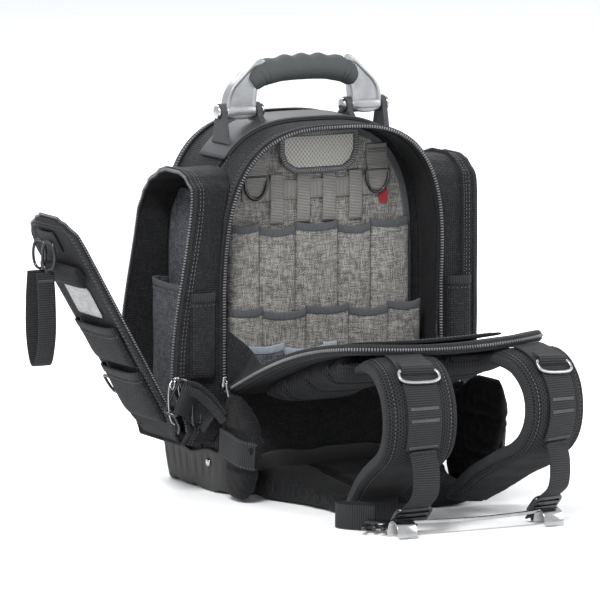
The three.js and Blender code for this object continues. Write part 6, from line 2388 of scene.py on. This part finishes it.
@dataclass
class Straps:
    """Shoulder straps: air-mesh pads with bound edges, ribbed webbing, oval rings, tails, the steel bar."""

    route: tuple = ((-322, 158), (-348, 165), (-374, 159), (-392, 138), (-396, 110), (-384, 84), (-352, 64),
                    (-322, 48), (-294, 29), (-272, 13))
    width: float = 78.0
    thickness: float = 18.0
    count: int = 110
    last: float = 21.0
    web_width: float = 38.0
    tail_width: float = 30.0
    web_start: float = 0.8
    web_end: float = 10.0
    ring_station: float = 5.0
    turn_station: float = 8.0
    tack_stations: tuple = (2.2, 7.2, 7.9, 9.6)

    @property
    def rise(self) -> float:
        """Height of the webbing's middle over the pad's middle."""
        return self.thickness / 2 + 0.3 + 1.0

    def run(self, name: str, turn: float, lift: float, web_gap: float, tail_gap: float,
            xs: Sequence[float]) -> StrapRun:
        """Lays out one strap.

        The route's upper end is raised by lift (1 - i / 2), and the strap turns by
        turn sin(pi min(share, 14) / 14) degrees about the vertical.

        Args:
            name: left or right.
            turn: how far it turns, degrees.
            lift: raise of its upper end.
            web_gap: space under the webbing.
            tail_gap: space under the tail.
            xs: X of the route's points.

        Returns:
            The strap's run.
        """
        i = np.arange(len(self.route))
        points = np.array([[x, y, z] for x, (y, z) in zip(xs, self.route)], float)
        points[:, 2] += lift * np.clip(1 - i / 2, 0, None)
        path = curve(points, self.count)
        share = np.linspace(0, self.last, self.count)
        angle = np.radians(turn * np.sin(math.pi * np.minimum(share, 14) / 14))
        side = np.stack([np.cos(angle), np.sin(angle), 0 * angle], 1)
        wide = axes_along(path, side)[1]
        _, wide, up = axes_along(path, wide)
        return StrapRun(name, path, wide, up, share, web_gap, tail_gap)

    def pad(self, run: StrapRun) -> None:
        """Air-mesh pad: an oval section with a crown of a tenth and a sewn groove beside each edge."""
        section = oval(self.width, self.thickness, 56, 4.6)
        crown = 1 + 0.10 * np.cos(section[:, 0] / self.width * math.pi)
        sections = np.broadcast_to(section, (self.count, 56, 2)).copy()
        sections[..., 1] *= (run.ease[:, None] * crown)
        sections[..., 0] *= run.narrow[:, None]
        groove = np.exp(-((np.abs(section[:, 0]) - self.width * 0.405) / 2.0) ** 2)
        sections[..., 1] *= 1 - 0.20 * groove
        w, u = run.wide[:, None], run.up[:, None]
        points = run.path[:, None] + sections[..., :1] * w + sections[..., 1:] * u
        soft = np.clip(ripple(points, 38, len(run.name) + 50), 0, 1) * 1.2
        points -= u * (soft * np.sign(sections[..., 1]))[..., None]
        piece = tidy_normals(grid(f"strap_cloth_{run.name}", points, wrap=True, caps=True))
        add_piece(piece, AIR, f"strap_pad_{run.name}")

    def edges(self, run: StrapRun) -> None:
        """Bound edges and the seams inside them."""
        scale = np.stack([np.ones(self.count), run.ease], 1)
        for k in (-1, 1):
            rim = run.path + run.wide * (k * (self.width / 2 - 0.4) * run.narrow)[:, None]
            name = f"strap_binding_{run.name}_{'near' if k < 0 else 'far'}"
            add_piece(carried(name, rim, rounded_box(3.0, 9.5, 1.3, 3), run.wide, scale=scale, blunt=3), BAND)
        rows = []
        for k in (-1, 1):
            reach = (k * (self.width / 2 - 7.6) * run.narrow)[:, None]
            seam = run.path + run.wide * reach + run.up * (run.ease * 8.0)[:, None]
            rows.append(stitches("seam", seam[6:-6], run.up[6:-6]))
        add_piece(joined(f"strap_stitches_{run.name}", rows), THREAD)

    def web(self, run: StrapRun) -> None:
        """Ribbed webbing along the pad."""
        keep = (run.share >= self.web_start) & (run.share <= self.web_end)
        height = self.rise + run.web_gap + 0.6 - 6.6 * (1 - run.ease[keep])
        lay = run.path[keep] + run.up[keep] * height[:, None]
        section = rounded_box(self.web_width, 2.0, 0.8, 3)
        add_piece(carried(f"strap_webbing_{run.name}", lay, section, run.wide[keep]), BAND,
                  f"strap_web_{run.name}")

    def tacks(self, run: StrapRun) -> None:
        """Three rows of stitches across the webbing at each of four places."""
        height = self.rise + run.web_gap + 1.7
        made = []
        for station in self.tack_stations:
            at = run.near(station)
            along = unit(run.path[at + 1] - run.path[at - 1])
            for k in (-1.0, 0.0, 1.0):
                across = np.outer(np.linspace(-15, 15, 12), run.wide[at])
                line = run.path[at] + run.up[at] * height + along * k + across
                made.append(stitches("tack", line, run.up[at], 1.6, 1.9, 0.5))
        add_piece(joined(f"strap_tacks_{run.name}", made), THREAD)

    def ring(self, run: StrapRun) -> None:
        """Oval ring on the webbing and the loop that holds its upper bar."""
        at = run.near(self.ring_station)
        wide, up = run.wide[at], run.up[at]
        centre = run.path[at] + up * (self.rise + run.web_gap + 3.7)
        along = unit(run.path[at + 3] - run.path[at - 3])
        ring = ring_path(centre, wide, along, 22, 8.5, 3.0, 64)
        add_piece(carried(f"oval_ring_{run.name}", ring, oval(3.6, 3.2, 14, 2.6), up, True), BRUSHED,
                  f"strap_ring_{run.name}")
        loop = [centre - along * back + up * rise
                for back, rise in ((19, -1.9), (13.5, 0.6), (8.5, 3.3), (4.5, 1.2), (2.5, -2.0))]
        add_piece(carried(f"ring_loop_{run.name}", curve(loop, 30), rounded_box(36, 1.7, 0.6, 3), wide), BAND)

    def tail(self, run: StrapRun) -> None:
        """Folded end of the webbing that hangs to the floor, with its buckle."""
        at = run.near(self.web_end)
        start = run.path[at] + run.up[at] * (self.rise + 2.6 + run.tail_gap)
        x, y, _ = start
        route = [start, start + vec(1, -6, -18), start + vec(0, -5, -42), vec(x - 2, y + 13.6, 26),
                 vec(x - 4, y + 34, 5)]
        line = curve(route, 60)
        half = self.tail_width / 2 + 0.2
        fold = start + run.up[at] * 0.8 + np.outer(np.linspace(-half, half, 12), run.wide[at])
        add_piece(carried(f"strap_fold_{run.name}", fold, oval(3.6, 5.6, 14), run.up[at], blunt=1), BAND)
        wide = run.wide[run.near(self.turn_station)]
        section = rounded_box(self.tail_width, 1.9, 0.8, 3)
        add_piece(carried(f"strap_end_{run.name}", line, section, wide), BAND, f"strap_tail_{run.name}")
        self.buckle(run.name, line, wide)

    def buckle(self, name: str, line: Array, wide: Array) -> None:
        """A ladder-lock buckle on the tail: frame, two bars and a lifted tongue."""
        at = 47
        along = unit(line[at + 1] - line[at - 1])
        out = unit(np.cross(along, wide))
        centre = line[at] + out * 0.4
        frame = ring_path(centre, wide, along, 18.5, 11.0, 7, 60)
        parts = [carried("frame", frame, rounded_box(5.2, 4.2, 1.3, 3), out, True)]
        for k in (-3.6, 4.2):
            bar = centre + along * k + out * 1.6 + np.outer(np.linspace(-18, 18, 9), wide)
            parts.append(carried("bar", bar, oval(4.2, 3.6, 12), along))
        route = [centre + along * ahead + out * rise for ahead, rise in ((10, 0.5), (16, 2.4), (20, 5.5))]
        parts.append(carried("tongue", curve(route, 12), rounded_box(24, 2.4, 1.0, 3), wide, blunt=2))
        add_piece(joined(f"ladder_lock_{name}", parts), GLOSS)

    def bar(self) -> None:
        """Steel bar with a hooked tab at each end; its middle sags 2.5 (1 - share^2)."""
        left, right, y, z = -81.0, 86.0, -394.0, 15.0
        share = np.linspace(-1, 1, 60)
        centre, half = (left + right) / 2, (right - left) / 2
        path = np.stack([centre + share * (half - 5.5), np.full(60, y), z - 2.5 * (1 - share**2)], 1)
        parts = [carried("bar", path, oval(4, 4, 16), vec(0, 0, 1))]
        for x in (left, right):
            profile = [[x, y - 13, 1.1], [x, y - 12, 8], [x, y - 8, 14], [x, y, z + 1.5], [x, y + 7, 13],
                       [x, y + 10, 6], [x, y + 11, 1.1]]
            section = rounded_box(22, 1.7, 0.6, 3)
            parts.append(carried("tab", curve(profile, 40), section, vec(1, 0, 0), blunt=1.2))
        add_piece(joined("steel_bar", parts), STEEL, "hanger_bar")

    def build(self) -> None:
        """Builds both straps and the bar."""
        runs = (self.run("left", 0, 3.2, 0.6, 0.5, (-57, -59, -61, -62, -62, -61, -59, -57, -55, -54)),
                self.run("right", 20, 3.5, 0.9, 0.0, (80, 84, 88, 91, 91, 88, 82, 73, 64, 58)))
        for run in runs:
            for step in (self.pad, self.edges, self.web, self.tacks, self.ring, self.tail):
                step(run)
        self.bar()


@dataclass
class Trim:
    """Small hardware: zip sliders, the gusset's pull wire, the belt's ring and straps, and the floor clip."""

    def belt_link(self) -> None:
        """Black ring on the gusset's front foot, the band through it and the two belt straps.

        The band's path lies along the gusset; the straps sag as curves through four points.
        """
        up, across = unit(vec(0.42, -0.1, 0.9)), unit(vec(0.75, -0.65, -0.35))
        centre = vec(-184, -96.5, 108)
        ring = ring_path(centre, across, up, 7, 19, 6, 60)
        add_piece(carried("belt_ring", ring, oval(3.8, 3.4, 12), np.cross(across, up), True), GLOSS)
        band = curve([[-186, -100, 108], [-181, -102.5, 106], [-172, -98, 103], [-163, -90.5, 100],
                      [-160, -87.5, 99]], 40)
        add_piece(carried("belt_ring_band", band, rounded_box(33, 1.8, 0.7, 3), up), BAND)
        for k, drop in enumerate((0.0, -7.0)):
            line = curve([[-181, -101 - k * 2, 122 + drop], [-168, -104 - k * 2, 119 + drop],
                          [-152, -108 - k, 105 + drop], [-140, -114, 88 + drop]], 50)
            add_piece(carried(f"belt_strap_{k}", line, rounded_box(11, 1.7, 0.7, 3), vec(0, -0.55, 0.83),
                              blunt=1), BAND)

    def sliders(self) -> None:
        """Two bright sliders at the gusset's foot and one on each end of the panel's zip."""
        down = vec(0.15, -0.25, -1)
        slider("slider_left_pocket", vec(-182, -87.0, 122), vec(0, 0, 1), vec(0, -1, 0), down, 19, STEEL)
        slider("slider_front_left", vec(-133.5, -101.0, 121), vec(0, 0, 1), vec(0, -1, 0), down, 17, STEEL)
        slider("slider_front_right", vec(133.5, -101.0, 121), vec(0, 0, 1), vec(0, -1, 0), down, 17, STEEL)
        wire = curve([[-188.5, -90, 125], [-193, -92, 116], [-193.5, -93, 96], [-191, -93, 84],
                      [-186, -92, 79]], 60)
        add_piece(carried("pull_wire", wire, oval(1.5, 1.5, 8), vec(0, -1, 0)), BRUSHED)
        loop = ring_path(vec(-187.5, -90, 121), vec(0, -1, 0), vec(0.2, 0, 1), 4, 5.5, 2.4, 30)
        add_piece(carried("pull_ring", loop, oval(1.6, 1.6, 8), vec(1, 0, 0), True), STEEL)

    def clip(self) -> None:
        """Side-release half on the end of the floor webbing: body, two arms and a middle tongue."""
        a, b = vec(-84, -352, 9), vec(-106, -376, 6)
        along = unit(b - a)
        side = unit(np.cross(vec(0, 0, 1), along))
        line = np.array([a + along * k for k in np.linspace(0, 15, 6)])
        parts = [carried("body", line, rounded_box(27, 7.5, 2.2, 3), side, blunt=2)]
        for k, reach in ((-10, 15), (0, 11), (10, 15)):
            arm = curve([a + along * 13 + side * k, a + along * (13 + reach * 0.6) + side * k * 1.12,
                         a + along * (13 + reach) + side * k * 0.9], 12)
            parts.append(carried("arm", arm, rounded_box(4.6, 4.4, 1.4, 3), side, blunt=1.4))
        add_piece(joined("floor_clip", parts), GLOSS)

    def build(self) -> None:
        """Builds all of it."""
        self.belt_link()
        self.sliders()
        self.clip()


@dataclass
class Studio:
    """Floor, lights and camera."""

    azimuth: float = -27.0
    elevation: float = 8.0
    distance: float = 8000.0
    focal: float = 457.9
    aim_height: float = 200.0
    across: float = 4.72
    down: float = -14.5

    def camera(self) -> None:
        """Camera at the photograph's angle; the aim is set beside the bag's middle, so no shift is needed."""
        a, e = math.radians(self.azimuth), math.radians(self.elevation)
        right = vec(math.cos(a), math.sin(a), 0)
        back = vec(math.sin(a) * math.cos(e), -math.cos(a) * math.cos(e), math.sin(e))
        up = np.cross(back, right)
        aim = vec(0, 0, self.aim_height) + right * self.across + up * self.down
        data = bpy.data.cameras.new("camera")
        data.lens = self.focal
        data.sensor_width = 36.0
        data.clip_end = 100.0
        camera = bpy.data.objects.new("camera", data)
        bpy.context.scene.collection.objects.link(camera)
        camera.location = Vector(to_frame(aim + back * self.distance))
        camera.rotation_mode = "QUATERNION"
        camera.rotation_quaternion = Vector(back).to_track_quat("Z", "Y")
        bpy.context.scene.camera = camera

    def lamp(self, name: str, place: Sequence[float], size: float, power: float) -> None:
        """A square area light aimed at the bag."""
        data = bpy.data.lights.new(name, "AREA")
        data.shape = "SQUARE"
        data.size = size
        data.energy = power
        lamp = bpy.data.objects.new(name, data)
        bpy.context.scene.collection.objects.link(lamp)
        lamp.location = Vector(place)
        lamp.rotation_mode = "QUATERNION"
        lamp.rotation_quaternion = (Vector(place) - Vector((0, -0.1, 0.2))).to_track_quat("Z", "Y")

    def build(self) -> None:
        """Builds floor, lights and world."""
        bpy.ops.mesh.primitive_plane_add(size=40, location=(0, 0, -0.0006))
        floor = bpy.context.object
        floor.name = "studio_floor"
        floor.data.materials.append(FLOOR.material())
        self.lamp("key", (-1.7, -2.1, 2.9), 1.0, 135)
        self.lamp("fill", (2.6, -1.6, 1.5), 2.0, 40)
        self.lamp("back", (0.4, 2.6, 2.6), 2.0, 90)
        world = bpy.data.worlds.new("studio")
        world.use_nodes = True
        background = world.node_tree.nodes["Background"]
        background.inputs["Color"].default_value = (0.95, 0.97, 1.0, 1.0)
        background.inputs["Strength"].default_value = 1.02
        bpy.context.scene.world = world
        bpy.context.scene.view_settings.view_transform = "Standard"


def dress_what_is_left() -> None:
    """Gives each CAD node that still shows its own finish."""
    for name, node in FRAME["nodes"].items():
        if not node.hide_render and not (node.data.materials and node.data.materials[0]
                                         and node.data.materials[0].name in DONE):
            LEFT.get(name, SHELL_FACES).dress(node)


FINISHES = (SHELL, SHELL_FACES, PAD_PAINTED_SHADE, AIR, HEATHER, LINING, BAND, BAND_FACES, GREY_BAND, BINDING, PALE_BINDING,
            TAPE, TEETH, THREAD, GREY_THREAD, TRAY_PLASTIC, SADDLE_PLASTIC, GLOSS, GRIP, CAST, STEEL, BRUSHED,
            PATCH, NET, LINING_PAINTED_SHADE, TAG, FLOOR)
DONE = {finish.name for finish in FINISHES}
LEFT = {
    "handle_grip": GRIP, "clip_ring_front": GLOSS, "clip_ring_rear": GLOSS, "flap_ring": GLOSS,
    "board_ring_left": GLOSS, "board_ring_right": GLOSS, "strap_ring_left": BRUSHED,
    "strap_ring_right": BRUSHED, "hanger_bar": STEEL, "flap_label": PATCH,
    "side_web_left": BAND_FACES, "side_web_right": BAND_FACES,
}


def main() -> None:
    """Builds the bag, sub-assembly by sub-assembly."""
    logging.basicConfig(level=logging.INFO, format="%(message)s")
    FRAME.update(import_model())
    studio = Studio()
    studio.camera()
    for part in ASSEMBLIES:
        part().build()
    dress_what_is_left()
    studio.build()


ASSEMBLIES = (Shell, Zips, Tray, Handle, SidePockets, Flap, Interior, Panel, Belt, Straps, Trim)

if __name__ == "__main__":
    main()
